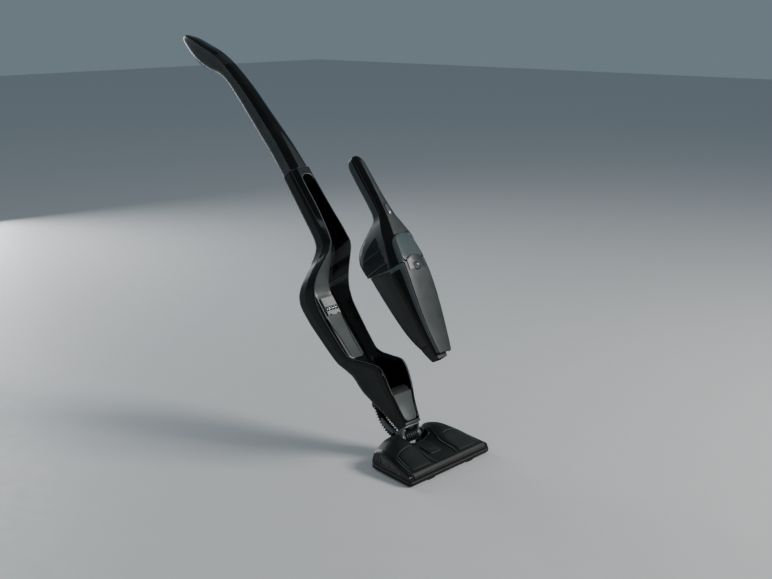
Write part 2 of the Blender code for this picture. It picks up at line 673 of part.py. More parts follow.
def add_spine(stick):
    """The gloss front body, from the cup to the joint with the shaft."""
    radii = [0, 2, 1, 1, 7, 7, 1, 1, 2, 0]
    rings = []
    for z in heights(STICK_GRID, STICK_BOTTOM, STICK_TOP):
        rings.append(level(shell_ring(spine_path(z), radii, WALL, 1), z))
    spine = loft("stick_spine", rings, stick, (BLACK, 0.12))
    outlet = cylinder("cut_spine_outlet", (0, 15, 98), (0, 0.9, -0.44), 8.6, 24, stick, cutter=True)
    boolean(spine, outlet)


def rear_path(z):
    """The rear cover's wall at one height."""
    body = smooth(BODY_HALF, z)
    seam = smooth(SEAM_Y, z) + GAP
    rear = smooth(REAR_Y, z)
    return [(-body, seam), (-body, rear), (body, rear), (body, seam)]


def rear_cover(name, low, high, parent, look):
    """One length of the rear cover."""
    rings = []
    for z in heights(STICK_GRID, low, high):
        radius = smooth(REAR_R, z)
        rings.append(level(shell_ring(rear_path(z), [0, radius, radius, 0], -WALL, 4), z))
    return loft(name, rings, parent, look)


def add_rear_covers(stick):
    """The matte cup shell below and the back cover above, with the latch opening."""
    cup = rear_cover("cup_shell", STICK_BOTTOM, CUP_TOP, stick, (GREY, 0.5))
    boolean(cup, cylinder("cut_outlet", (0, 27, 101.5), (0, 0.9, -0.46), 11.4, 26, stick, cutter=True))
    back = rear_cover("back_cover", CUP_TOP + 0.5, STICK_TOP, stick, (SATIN, 0.3))
    boolean(back, prism_along("cut_latch", oval(8.4, 22.4, 4), (0, 579), -40, -20, stick))


def oval(half_x, half_z, parts):
    """A rounded outline for a button."""
    return rounded([(-half_x, -half_z), (half_x, -half_z), (half_x, half_z), (-half_x, half_z)],
                   [2 * half_x] * 4, parts)


def prism_along(name, outline, centre, front, rear, parent, look=None):
    """An (x, height) outline carried along the depth."""
    rings = [[(centre[0] + p[0], y, centre[1] + p[1]) for p in outline] for y in (front, rear)]
    return loft(name, rings, parent, look, cutter=look is None)


def add_latch(stick):
    """The oval release latch let into the back."""
    seat = frame("latch_axis", (0, -29, 579), stick)
    rings = []
    for y, shrink in ((-2.2, 0.4), (1.8, 0.4), (4.8, 1.2), (6.2, 3.2)):
        rings.append([(p[0], y, p[1]) for p in oval(8.0 - shrink, 22.0 - shrink, 4)])
    loft("release_latch", rings, seat, (SATIN, 0.3))


def add_dish_parts(stick):
    """What lies in the dish: liner, contact block, cup floor, front plate and the arch above."""
    rings = []
    for z in heights(STICK_GRID, 198, 444):
        half = smooth(FLOOR_HALF, z) - 7.5
        y = smooth(FLOOR_Y, z) - GAP
        rings.append(level([(-half, y), (-half, y - 2), (half, y - 2), (half, y)], z))
    loft("cradle_liner", rings, stick, (GREY, 0.4))
    add_contacts(stick)
    add_cup_floor(stick)
    add_front_plate(stick)
    rings = [level(dish_outline(z, 0.7, smooth(RIM_FRONT, z) + 0.5), z) for z in (571, STICK_TOP)]
    arch = loft("recess_arch", rings, stick, (GREY, 0.4))
    boolean(arch, cylinder("cut_arch", (0, -60, 573), (0, 1, 0), 15.2, 80, stick, cutter=True, sides=32))


def add_contacts(stick):
    """The charging contact block on the liner, with four spring contacts on one strip."""
    y = smooth(FLOOR_Y, 324) - GAP - 2 - GAP
    body = block("contact_block", (-19.5, y - 4, 303), (19.5, y, 345), stick, (PALE, 0.5))
    boolean(body, block("cut_strip", (-17, y - 1.6, 313), (17, y + 2, 324), stick, cutter=True))
    pins = block("contact_strip", (-16.5, y - 1.2, 313.6), (16.5, y, 323.4), stick, (STEEL, 0.2, 1.0))
    for k, x in enumerate((-13, -6, 6, 13)):
        boolean(body, block(f"cut_slot_{k}", (x - 2.4, y - 9, 314), (x + 2.4, y, 323), stick, cutter=True))
        pin = block(f"pin_{k}", (x - 1.6, y - 4.6, 316.5), (x + 1.6, y - 0.6, 320.5), stick, cutter=True)
        boolean(pins, pin, "UNION")
    for k, x in enumerate((-15, 15)):
        boolean(body, block(f"cut_notch_{k}", (x - 2, y - 9, 300), (x + 2, y + 2, 306.5), stick, cutter=True))
    bevel(body, 0.5)


def dish_outline(z, margin, front):
    """A plan outline that fills the dish at one height, from a front line to the floor."""
    wide = smooth(RIM_IN, z)
    deep = smooth(FLOOR_HALF, z)
    y0 = smooth(RIM_FRONT, z)
    floor = smooth(FLOOR_Y, z)
    share = (front - y0) / (floor - y0)
    edge = wide + (deep - wide) * share - margin
    foot = deep + (wide - deep) * 7 / (floor - y0) - margin
    return [(-edge, front), (edge, front), (foot, floor - 7.5), (deep - 8, floor - margin),
            (8 - deep, floor - margin), (-foot, floor - 7.5)]


def add_cup_floor(stick):
    """The seat at the bottom of the cup, with the inlet that the nozzle presses on."""
    rings = []
    for z in (CUP_FLOOR_Z - 14, CUP_FLOOR_Z):
        rings.append(level(dish_outline(z, 1.5, smooth(RIM_FRONT, z) + 6), z))
    seat = loft("cup_floor", rings, stick, (DARK, 0.6))
    boolean(seat, cylinder("cut_inlet", (0, -10, 80), (0, 0, 1), 12.5, 60, stick, cutter=True))
    duct = cylinder("cut_inlet_rear", (0, 2, 79), (0, 1, -0.2), 5.0, 60, stick, cutter=True)
    boolean(seat, duct)
    rim = cylinder("inlet_seal", (0, -10, CUP_FLOOR_Z + 1.8), (0, 0, 1), 15.5, 3.0, stick, (BLACK, 0.8))
    boolean(rim, cylinder("cut_seal", (0, -10, 90), (0, 0, 1), 12.5, 30, stick, cutter=True))
    path = [(24.8, 103.0), (31, 99.9), (35.6, 95.6), (37.4, 91.8), (37.4, 88)]
    add_bent_pipe("hose_outlet", path, [9.2, 9.4, 10.0, 10.4, 10.4], stick, (DARK, 0.5))


def add_front_plate(stick):
    """The plate that closes the foot of the dish in front of the duct."""
    rings = []
    for z in heights(STICK_GRID, 26, 83):
        y = smooth(RIM_FRONT, z)
        half = smooth(RIM_IN, z) - 2.0
        path = [(-half, y + 4.2), (-half, y + 0.6), (half, y + 0.6), (half, y + 4.2)]
        path = rounded(path, [0, 3, 3, 0], 2)
        rings.append(level(path, z))
    loft("front_plate", rings, stick, (GREY, 0.35))


def add_foot(stick):
    """The plate that closes the stick's foot, its swivel spigot and the two rear horns."""
    half = smooth(BODY_HALF, 24)
    front = smooth(RIM_FRONT, 24)
    rear = smooth(REAR_Y, 24)
    outline = rounded([(-half, front), (half, front), (half, rear), (-half, rear)], [5, 5, 10, 10], 4)
    foot = prism("swivel_foot", outline, 18.2, STICK_BOTTOM - GAP, stick, (DARK, 0.5))
    spigot = cylinder("spigot", (0, STEER_Y, 15.6), (0, 0, 1), 9.1, 8, stick, cutter=True, sides=32)
    boolean(foot, spigot, "UNION")
    turn = [2 * math.pi * k / 12 for k in range(12)]
    for side, tag in ((-1, "L"), (1, "R")):
        rings = []
        for z, x, y, rx, ry in ((18.6, 25, 9.5, 3.6, 5.5), (34, 29.5, 14, 3.2, 5.5),
                                (48, 31.6, 17, 2.8, 4.5), (58, 32.0, 17.5, 1.8, 2.5)):
            rings.append([(side * x + rx * math.cos(a), y + ry * math.sin(a), z) for a in turn])
        loft(f"stick_horn_{tag}", rings, stick, (PALE, 0.35))


def shaft_path(z):
    """The crowned front line of the shaft at one height."""
    half = smooth(SHAFT_HALF, z)
    seam = smooth(SHAFT_SEAM, z)
    crown = smooth(SHAFT_CROWN, z)
    left = [(-half, seam), (-half * 0.88, seam - 0.35 * crown), (-half * 0.5, seam - crown)]
    return left + [(-x, y) for x, y in left[::-1]]


def shaft_front(name, low, high, parent, look):
    """One length of the shaft's front cover."""
    rings = []
    for z in heights(SHAFT_GRID, low, high):
        path = shaft_path(z)
        inner = [(x * 0.86, min(y + 2.4, path[0][1] - 0.05)) for x, y in path]
        inner[0] = (path[0][0] * 0.86, path[0][1])
        inner[-1] = (path[-1][0] * 0.86, path[-1][1])
        rings.append(level([*path, *inner[::-1]], z))
    return loft(name, rings, parent, look)


def shaft_back_path(z):
    """The shaft's rear wall at one height."""
    half = smooth(SHAFT_HALF, z)
    seam = smooth(SHAFT_SEAM, z) + GAP
    rear = max(smooth(SHAFT_REAR, z), seam + 4)
    return [(-half, seam), (-half, rear), (half, rear), (half, seam)]


def add_shaft(stick):
    """The upper shaft, its grip and the switch on the bend."""
    rings = []
    for z in heights(SHAFT_GRID, SHAFT_BOTTOM, GRIP_TOP):
        half = smooth(SHAFT_HALF, z)
        wall = min(WALL, 0.35 * half)
        rings.append(level(shell_ring(shaft_back_path(z), [0, 0.9 * half, 0.9 * half, 0], -wall, 4), z))
    loft("shaft_back", rings, stick, (SATIN, 0.3))
    shaft_front("shaft_front", SHAFT_BOTTOM, PAD_LOW - GAP, stick, (BLACK, 0.15))
    shaft_front("grip_top", PAD_HIGH + GAP, GRIP_TOP - 2, stick, (BLACK, 0.15))
    add_switch(stick)
    add_grip_pad(stick)
    rear = smooth(SHAFT_REAR, 870) + 3.6
    cylinder("wall_bumper", (0, rear, 868), (0, 1, -0.35), 4.2, 5.2, stick, (BLACK, 0.8))


def add_switch(stick):
    """The power switch that fills the gap in the front cover at the bend."""
    middle = (PAD_LOW + PAD_HIGH) / 2
    y0 = smooth(SHAFT_SEAM, middle)
    seat = frame("switch_axis", (0, y0, middle), stick)
    rings = []
    for z in heights(SHAFT_GRID, PAD_LOW + 0.2, PAD_HIGH - 0.2):
        path = [(x * 0.97, y - y0) for x, y in shaft_path(z)]
        ends = [(x, y - 1.9) for x, y in (path[0], path[5])]
        rings.append(level([ends[0], *path[1:5], ends[1]], z - middle))
    loft("switch_pad", rings, seat, (DARK, 0.5))


def add_grip_pad(stick):
    """A softer insert under the grip."""
    rings = []
    for z in heights(SHAFT_GRID, 924, 982):
        half = smooth(SHAFT_HALF, z) * 0.5
        rear = smooth(SHAFT_REAR, z)
        low = [(-half, rear + 0.4), (half, rear + 0.4)]
        top = [(half * 0.7, rear + 2.0), (-half * 0.7, rear + 2.0)]
        rings.append(level(low + top, z))
    loft("grip_pad", rings, stick, (GREY, 0.7))


# ---------------------------------------------------------------- hand unit


def hand_front_path(z):
    """The hand unit's front wall at one height."""
    half = smooth(HAND_HALF, z)
    face = min(smooth(HAND_FACE, z), half - 2)
    front = smooth(HAND_FRONT, z)
    seam = smooth(HAND_SEAM, z)
    side = front + min(smooth(HAND_CORNER, z), seam - front - 2.5)
    return [(-half, seam), (-half, side), (-face, front), (face, front), (half, side), (half, seam)]


def add_hand_front(hand):
    """The gloss front body of the hand unit, full length."""
    rings = []
    for z in heights(HAND_GRID, HAND_LOW, HAND_TOP):
        wall = min(WALL, 0.25 * smooth(HAND_HALF, z))
        rings.append(level(shell_ring(hand_front_path(z), [0, 6, 3, 3, 6, 0], wall, 2), z))
    shell = loft("hand_front_shell", rings, hand, (BLACK, 0.15))
    boolean(shell, prism_along("cut_power", oval(5.2, 11.2, 3), (0, 407), -95, -70, hand))
    boolean(shell, prism_along("cut_release", disc(7.2, 20), (0, 279), -95, -60, hand))


def disc(radius, sides):
    """A round outline."""
    turn = [2 * math.pi * k / sides for k in range(sides)]
    return [(radius * math.cos(a), radius * math.sin(a)) for a in turn]


def hand_rear_path(z):
    """The hand unit's rear wall at one height."""
    half = smooth(HAND_HALF, z)
    seam = smooth(HAND_SEAM, z) + GAP
    rear = max(smooth(HAND_REAR, z), seam + 5)
    return [(-half, seam), (-half, rear), (half, rear), (half, seam)]


def add_hand_rear(hand):
    """The satin rear body with its handle and slanted vents."""
    rings = []
    for z in heights(HAND_GRID, BELT_Z + 0.5, HAND_TOP):
        half = smooth(HAND_HALF, z)
        depth = smooth(HAND_REAR, z) - smooth(HAND_SEAM, z)
        radius = min(0.8 * half, 0.5 * depth + 6)
        wall = min(WALL, 0.25 * half)
        rings.append(level(shell_ring(hand_rear_path(z), [0, radius, radius, 0], -wall, 4), z))
    shell = loft("hand_rear_shell", rings, hand, (SATIN, 0.35))
    bm = bmesh.new()
    for k in range(9):
        y = -44 + 6.6 * k
        z = 311 + 1.0 * k
        place = Matrix.Translation((0, y, z)) @ Matrix.Rotation(math.radians(-32), 4, "X")
        tall = 24 - 1.1 * k
        bmesh.ops.create_cube(bm, size=1, matrix=place @ Matrix.Diagonal((120, 2.2, tall, 1)))
    boolean(shell, add("cut_vents", bm, hand, cutter=True))


def hand_skin(name, low, high, inset_by, hand, look, thick=SKIN):
    """A plate laid on the hand unit's front face between two heights."""
    rings = []
    for z in heights(HAND_GRID, low, high):
        face = smooth(HAND_FACE, z) - inset_by
        front = smooth(HAND_FRONT, z) - GAP
        outer = [(face - 0.8, front - thick), (0, front - thick - 0.5), (-face + 0.8, front - thick)]
        rings.append(level([(-face, front), (face, front), *outer], z))
    return loft(name, rings, hand, look)


def add_hand_skins(hand):
    """The matte strip, the window and the lower cover of the hand unit's front."""
    strip = hand_skin("hand_strip", 354, 528, 0.4, hand, (GREY, 0.45))
    boolean(strip, prism_along("cut_strip_power", oval(5.2, 11.2, 3), (0, 407), -95, -70, hand))
    hand_skin("hand_window", 295, 353.4, 1.2, hand, ((0.2, 0.27, 0.27), 0.15, 0.0, 0.8), thick=1.8)
    cover = hand_skin("hand_cover", 106, 294.4, 0.6, hand, (GREY, 0.4))
    boolean(cover, prism_along("cut_cover_release", disc(7.2, 20), (0, 279), -95, -60, hand))
    y = smooth(HAND_FRONT, 407)
    seat = frame("power_axis", (0, y, 407), hand)
    rings = []
    for depth, shrink in ((5.0, 0.3), (-1.2, 0.3), (-2.6, 1.3)):
        rings.append([(p[0], depth, p[1]) for p in oval(5.2 - shrink, 11.2 - shrink, 3)])
    loft("power_button", rings, seat, (STEEL, 0.3, 0.6))
    y = smooth(HAND_FRONT, 279)
    seat = frame("release_axis", (0, y, 279), hand)
    profile = [(-6, 0), (-6, 6.8), (1.8, 6.8), (2.8, 5.6), (3.2, 0)]
    turned("release_button", profile, (0, 0, 0), (0, -1, 0), seat, (SATIN, 0.3), 20)


def bin_path(z, margin=0.0):
    """The dust container's faceted outline at one height."""
    half = smooth(HAND_HALF, z) - margin
    seam = smooth(HAND_SEAM, z) + GAP + margin
    rear = smooth(BIN_REAR, z) - margin
    depth = rear - seam
    near = [(half, seam), (half - 0.4, seam + 0.3 * depth)]
    near += [(0.78 * half, rear - 0.18 * depth), (0.42 * half, rear)]
    far = [(-x, y) for x, y in near[::-1]]
    return [far[-1], *near, *far[:-1]]


def add_bin(hand):
    """The smoked dust container, its nozzle and the filter inside."""
    slide = frame("bin_axis", (0, 0, 0), hand)
    radii = [0, 0, 6, 6, 5, 5, 6, 6]
    rings = [level(rounded(bin_path(z), radii, 2), z) for z in heights(HAND_GRID, BIN_LOW, BELT_Z - GAP)]
    cup = loft("dust_container", rings, slide, (SMOKE, 0.12, 0.0, 0.6))
    inside = [BIN_LOW + 2.4, *heights(HAND_GRID, BIN_LOW + 17, BELT_Z + 6)]
    rings = [level(rounded(bin_path(z, 2.0), radii, 2), z) for z in inside]
    boolean(cup, loft("cut_bin", rings, slide, cutter=True))
    boolean(cup, block("cut_mouth", (-13, -25, 120), (13, -7, 140), slide, cutter=True))
    rings = []
    for z, x, y0, y1 in ((99, 15, -31, -9), (112, 18, -31, -2), (BIN_LOW - GAP, 21, -30.4, -0.5)):
        rings.append(level(rounded([(-x, y0), (x, y0), (x * 0.85, y1), (-x * 0.85, y1)], [4] * 4, 2), z))
    nozzle = loft("inlet_nozzle", rings, slide, (DARK, 0.3))
    boolean(nozzle, block("cut_nozzle", (-12, -25, 90), (12, -12, 140), slide, cutter=True))
    profile = [(-32, 0), (-32, 10), (-30, 13), (26, 24), (27, 33), (31, 33), (31, 0)]
    turned("filter_cone", profile, (0, -9, BELT_Z - 35), (0, 0, 1), slide, (PALE, 0.9), 20)


def add_hand_insides(hand):
    """The suction motor, its fan and the battery pack."""
    can = cylinder("fan_motor", (0, -10, 338), (0, 0, 1), 19, 36, hand, (STEEL, 0.35, 1.0))
    boolean(can, cylinder("cut_fan_motor", (0, -10, 320), (0, 0, 1), 2.8, 20, hand, cutter=True, sides=12))
    spin = frame("fan_axis", (0, -10, 308), hand)
    profile = [(-9, 0), (-9, 7), (-6, 24), (0, 26), (2, 26), (3, 8), (3, 2.5), (16, 2.5), (16, 0)]
    turned("fan_rotor", profile, (0, 0, 0), (0, 0, 1), spin, (STEEL, 0.4, 1.0), 20)
    cells = cylinder("battery_pack", (-27, -51, 322), (0, 0, 1), 8.6, 48, hand, (GREY, 0.5), sides=16)
    for k in range(3):
        middle = (-10 + 17 * k, -51, 322)
        cell = cylinder(f"cell_{k}", middle, (0, 0, 1), 8.6, 48, hand, cutter=True, sides=16)
        boolean(cells, cell, "UNION")
    block("control_board", (-20, -73, 300), (20, -71.4, 350), hand, ((0.02, 0.12, 0.06), 0.5))


clear_scene()
PARTS = collection("cordless_stick_vacuum")
CUTTERS = collection("cutters", helper=True)
NECK = frame("neck_axis", (0, PIVOT_Y, PIVOT_Z), None, -LEAN_DEG)
STEER = frame("steer_axis", (0, STEER_Y, 0), NECK)
STICK = frame("stick_datum", (0, -STEER_Y, 0), STEER)
HAND = frame("undock_axis", (0, -UNDOCK, 0), STICK)
add_head_shell()
add_end_caps()
add_deck_panels()
add_front_lip()
add_skirt()
add_base_plate()
add_wheels()
add_pedal()
add_brush()
add_chamber()
add_drive()
add_neck(NECK)
add_hose(NECK)
add_spine(STICK)
add_rear_covers(STICK)
add_latch(STICK)
add_dish_parts(STICK)
add_foot(STICK)
add_shaft(STICK)
add_hand_front(HAND)
add_hand_rear(HAND)
add_hand_skins(HAND)
add_bin(HAND)
add_hand_insides(HAND)
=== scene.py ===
"""Looks of the cordless stick vacuum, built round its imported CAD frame.

Shapes are written in millimetres in three spaces: the head's (the row frame itself), the stick's
(origin on the neck pivot, Z along the stick, -Y its front) and the hand unit's (the stick's, drawn forward).
"""

import math

import bmesh
import bpy
import numpy as np
from mathutils import Matrix, Vector


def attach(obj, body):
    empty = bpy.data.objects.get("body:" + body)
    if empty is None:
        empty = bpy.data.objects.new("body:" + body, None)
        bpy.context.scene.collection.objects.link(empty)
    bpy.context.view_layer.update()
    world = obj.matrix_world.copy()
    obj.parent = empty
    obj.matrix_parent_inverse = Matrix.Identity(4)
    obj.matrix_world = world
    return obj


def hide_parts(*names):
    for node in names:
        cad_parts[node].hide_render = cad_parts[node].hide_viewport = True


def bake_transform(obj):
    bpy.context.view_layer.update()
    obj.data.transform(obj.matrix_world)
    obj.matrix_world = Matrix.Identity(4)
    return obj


MM = 0.001
LEAN = math.radians(36.5)
UNDOCK = 150.0
PIVOT = (0.0, 0.040, 0.045)

HEAD = Matrix.Identity(4)
STICK = Matrix.Translation(PIVOT) @ Matrix.Rotation(-LEAN, 4, "X")
HAND = STICK @ Matrix.Translation((0, -UNDOCK * MM, 0))

# Stick stations, each (height, value), the same design values as the frame's solids.
RIM_FRONT = [(24, -28), (60, -33), (100, -42.5), (135, -48), (146, -46), (170, -20), (190, 4),
             (205, 14), (260, 18.5), (310, 20), (340, 14.5), (360, 3), (380, -18), (400, -50),
             (412, -68), (425, -76.5), (460, -79), (500, -78.5), (560, -76.5), (603, -75)]
BODY_HALF = [(24, 25), (60, 31), (100, 38.5), (140, 41), (180, 43), (205, 48), (260, 52), (310, 55),
             (340, 56), (362, 55), (380, 51.5), (400, 42), (412, 35), (430, 29.5), (460, 27.5),
             (520, 26.5), (603, 25.5)]
RIM_OUT = [(24, 23.5), (60, 29.5), (100, 37), (140, 39.5), (180, 41.8), (205, 47), (260, 51), (310, 54),
           (340, 55), (362, 54), (380, 50), (400, 40), (412, 33), (430, 27), (460, 23.5), (500, 20),
           (540, 18.5), (603, 18)]
RIM_IN = [(24, 20), (60, 25.5), (100, 33), (140, 35.5), (180, 39), (205, 45), (260, 49), (310, 52),
          (340, 53), (362, 51.5), (380, 47.5), (400, 38), (412, 31.5), (430, 25.6), (460, 22.2),
          (500, 18.8), (540, 17.6), (603, 17)]
CORNER_Y = [(24, 1.6), (140, 1.8), (200, 1.8), (340, 2), (400, 3), (412, 4), (430, 8), (460, 12), (603, 12)]
FLOOR_HALF = [(24, 14), (60, 18), (100, 27), (140, 28), (205, 25), (340, 26), (380, 27), (400, 25),
              (412, 23), (430, 19.5), (460, 18), (540, 16.4), (603, 16)]
FLOOR_Y = [(24, -8), (60, 3), (100, 17), (140, 23.5), (180, 29), (205, 33), (260, 38), (300, 40.6),
           (350, 40.6), (369, 36), (388, 21), (404, 0), (420, -22), (436, -34), (450, -36.5), (603, -36.5)]
SEAM_Y = [(24, -17), (60, -24), (100, -30), (140, -34), (152, -29), (170, -6), (188, 14), (205, 27),
          (260, 36), (310, 41), (345, 40), (365, 30), (385, 8), (400, -14), (414, -38), (430, -54),
          (460, -56), (603, -55)]
REAR_Y = [(24, 3), (60, 14), (103, 27.5), (128, 36), (155, 39.5), (200, 51.5), (268, 61), (318, 66),
          (345, 66.5), (366, 61), (384, 49), (400, 31), (414, 8), (428, -15), (440, -26.5), (460, -31),
          (520, -30.5), (603, -29.5)]
REAR_R = [(24, 12), (100, 20), (205, 26), (340, 28), (390, 22), (430, 14), (603, 12)]
STICK_LOW, CUP_TOP, STICK_TOP = 24.0, 198.0, 603.0
LATCH_Z, CONTACT_X = 579.0, (-13.8, -4.7, 4.7, 13.8)

# Shaft and grip stations.
SHAFT_SEAM = [(604, -64), (660, -61), (700, -56.7), (740, -51), (780, -45.5), (820, -39.5), (860, -31),
              (900, -20.5), (940, -4), (980, 21), (1005, 37), (1022, 50), (1034, 60)]
SHAFT_HALF = [(604, 25.5), (660, 23.5), (700, 22), (780, 19.5), (860, 18.5), (900, 17.5), (940, 16.5),
              (980, 15.5), (1005, 13.5), (1022, 10.5), (1034, 5.5)]
SHAFT_REAR = [(604, -29.5), (660, -26), (715, -19), (761, -14), (805, -9.5), (856, -4.5), (874, 0.5),
              (890, 8), (904, 17), (922, 32), (946, 47), (970, 57), (995, 63.5), (1015, 66.5), (1034, 67)]
SHAFT_CROWN = [(604, 11), (700, 8), (900, 7), (1005, 6), (1034, 3)]
SHAFT_LOW, GRIP_TOP, PAD_LOW, PAD_HIGH = 604.0, 1034.0, 899.0, 934.0

# Hand unit stations.
HAND_HALF = [(105, 24), (120, 26.5), (146, 31), (191, 38.5), (240, 44), (275, 45.8), (310, 46), (335, 44.5),
             (350, 42), (364, 38), (376, 33.5), (388, 28), (398, 22.5), (408, 18.5), (420, 17), (440, 16),
             (480, 15.5), (520, 14.5), (534, 12.5), (541, 8.5)]
HAND_FRONT = [(105, -41.5), (146, -49.5), (191, -59.5), (237, -70), (275, -77), (310, -80), (350, -80.5),
              (420, -79), (480, -78), (520, -77), (534, -75), (541, -70.5)]
HAND_FACE = [(105, 19), (146, 26), (191, 31), (237, 33), (300, 31), (340, 26), (380, 17), (400, 12.5),
             (440, 8.5), (480, 6.5), (541, 4.5)]
HAND_CORNER = [(105, 6), (191, 12), (290, 18), (340, 16), (380, 9), (420, 7), (541, 4.5)]
HAND_SEAM = [(105, -31), (146, -33), (205, -42), (260, -46), (292, -50), (310, -57), (329, -63),
             (350, -68), (398, -68), (480, -66), (541, -64)]
HAND_REAR = [(290, 29), (310, 31.5), (335, 33), (350, 31), (364, 23.5), (376, 8), (388, -14), (398, -33),
             (408, -44.5), (420, -47), (480, -46), (520, -45.5), (534, -48), (541, -54)]
BIN_REAR = [(131, 1), (150, 8.5), (175, 15), (248, 24), (290, 29)]
HAND_LOW, HAND_TOP, BELT_Z, BIN_LOW = 105.0, 541.0, 290.0, 131.0
KEY_Z, KEY_HALF, RELEASE_Z, WELL_R = 409.0, (5.9, 13.9), 280.5, 8.2
WINDOW_LOW, WINDOW_TOP, WINDOW_CORNER = 295.0, 353.4, 12.0
RIB_HEIGHTS, SLOT_PITCH, SLOT_LEAN = (340.5, 311.5), 5.0, 0.305

# Floor head plan and ridge.
HEAD_FRONT, HEAD_REAR, HALF_FRONT, HALF_REAR = -72.5, 57.0, 130.0, 101.0
SKIRT_TOP, LIP_Z, END_S = 13.0, 23.0, 0.93
CREST = [(0, 37), (0.2, 38), (0.32, 47), (0.43, 57), (0.54, 61), (0.7, 59), (0.86, 51), (1, 42)]
DECK_RADII = [0, 3, 4, 12, 12, 14, 8, 6, 0]
GAP = 0.3
WALL = 2.2


# ---------------------------------------------------------------- materials


def link(tree, source, target):
    tree.links.new(source, target)


def noise(tree, scale, detail, coord, rough=0.55):
    """A noise texture read in the object's own rest coordinates."""
    node = tree.nodes.new("ShaderNodeTexNoise")
    node.inputs["Scale"].default_value = scale
    node.inputs["Detail"].default_value = detail
    node.inputs["Roughness"].default_value = rough
    link(tree, coord, node.inputs["Vector"])
    return node


def ranged(tree, value, low, high, start=0.3, end=0.7):
    """Maps a 0 to 1 value onto a range."""
    node = tree.nodes.new("ShaderNodeMapRange")
    node.inputs["From Min"].default_value = start
    node.inputs["From Max"].default_value = end
    node.inputs["To Min"].default_value = low
    node.inputs["To Max"].default_value = high
    link(tree, value, node.inputs["Value"])
    return node.outputs["Result"]


def blended(tree, factor, first, second):
    """A mix of two colours, or of a colour and a socket."""
    node = tree.nodes.new("ShaderNodeMix")
    node.data_type = "RGBA"
    link(tree, factor, node.inputs["Factor"])
    for socket, value in ((node.inputs["A"], first), (node.inputs["B"], second)):
        if isinstance(value, tuple):
            socket.default_value = (*value, 1)
        else:
            link(tree, value, socket)
    return node.outputs["Result"]


def plastic(name, colour, rough, grain=0.05, grain_scale=2600, spread=0.12, coat=0.0, wear=0.25,
            smudge=0.06, metal=0.0, glow=0.5, through=0.0):
    """Moulded plastic or metal: drifting colour, moulding grain, smudged gloss and paler worn edges."""
    made = bpy.data.materials.new(name)
    made.use_nodes = True
    tree = made.node_tree
    shader = tree.nodes["Principled BSDF"]
    coord = tree.nodes.new("ShaderNodeTexCoord").outputs["Object"]
    drift = noise(tree, 14, 3, coord).outputs["Fac"]
    dark = tuple(c * (1 - spread) for c in colour)
    pale = tuple(min(1, c * (1 + spread) + 0.002) for c in colour)
    base = blended(tree, ranged(tree, drift, 0, 1), dark, pale)
    geometry = tree.nodes.new("ShaderNodeNewGeometry")
    edge = ranged(tree, geometry.outputs["Pointiness"], 0, wear, 0.54, 0.62)
    scuffs = ranged(tree, noise(tree, 120, 5, coord, 0.7).outputs["Fac"], 0.2, 1)
    worn = tree.nodes.new("ShaderNodeMath")
    worn.operation = "MULTIPLY"
    link(tree, edge, worn.inputs[0])
    link(tree, scuffs, worn.inputs[1])
    bright = tuple(min(1, c * 2.2 + 0.03) for c in colour)
    link(tree, blended(tree, worn.outputs[0], base, bright), shader.inputs["Base Color"])
    smears = noise(tree, 32, 6, coord, 0.65).outputs["Fac"]
    link(tree, ranged(tree, smears, max(0.02, rough - smudge), rough + smudge), shader.inputs["Roughness"])
    bump = tree.nodes.new("ShaderNodeBump")
    bump.inputs["Strength"].default_value = grain
    bump.inputs["Distance"].default_value = 0.0004
    link(tree, noise(tree, grain_scale, 2, coord).outputs["Fac"], bump.inputs["Height"])
    link(tree, bump.outputs["Normal"], shader.inputs["Normal"])
    shader.inputs["Metallic"].default_value = metal
    shader.inputs["Coat Weight"].default_value = coat
    shader.inputs["Coat Roughness"].default_value = 0.06
    shader.inputs["Specular IOR Level"].default_value = glow
    shader.inputs["Transmission Weight"].default_value = through
    return made


def fibrous(name, colour, line_scale):
    """Fibres and pleats: fine bands along one way with a broken edge."""
    made = plastic(name, colour, 0.85, 0.5, 1500, 0.25, wear=0.0)
    tree = made.node_tree
    wave = tree.nodes.new("ShaderNodeTexWave")
    wave.inputs["Scale"].default_value = line_scale
    wave.inputs["Distortion"].default_value = 3
    link(tree, tree.nodes["Texture Coordinate"].outputs["Object"], wave.inputs["Vector"])
    bump = tree.nodes.new("ShaderNodeBump")
    bump.inputs["Strength"].default_value = 0.6
    bump.inputs["Distance"].default_value = 0.0006
    link(tree, wave.outputs["Fac"], bump.inputs["Height"])
    link(tree, tree.nodes["Bump"].outputs["Normal"], bump.inputs["Normal"])
    link(tree, bump.outputs["Normal"], tree.nodes["Principled BSDF"].inputs["Normal"])
    return made


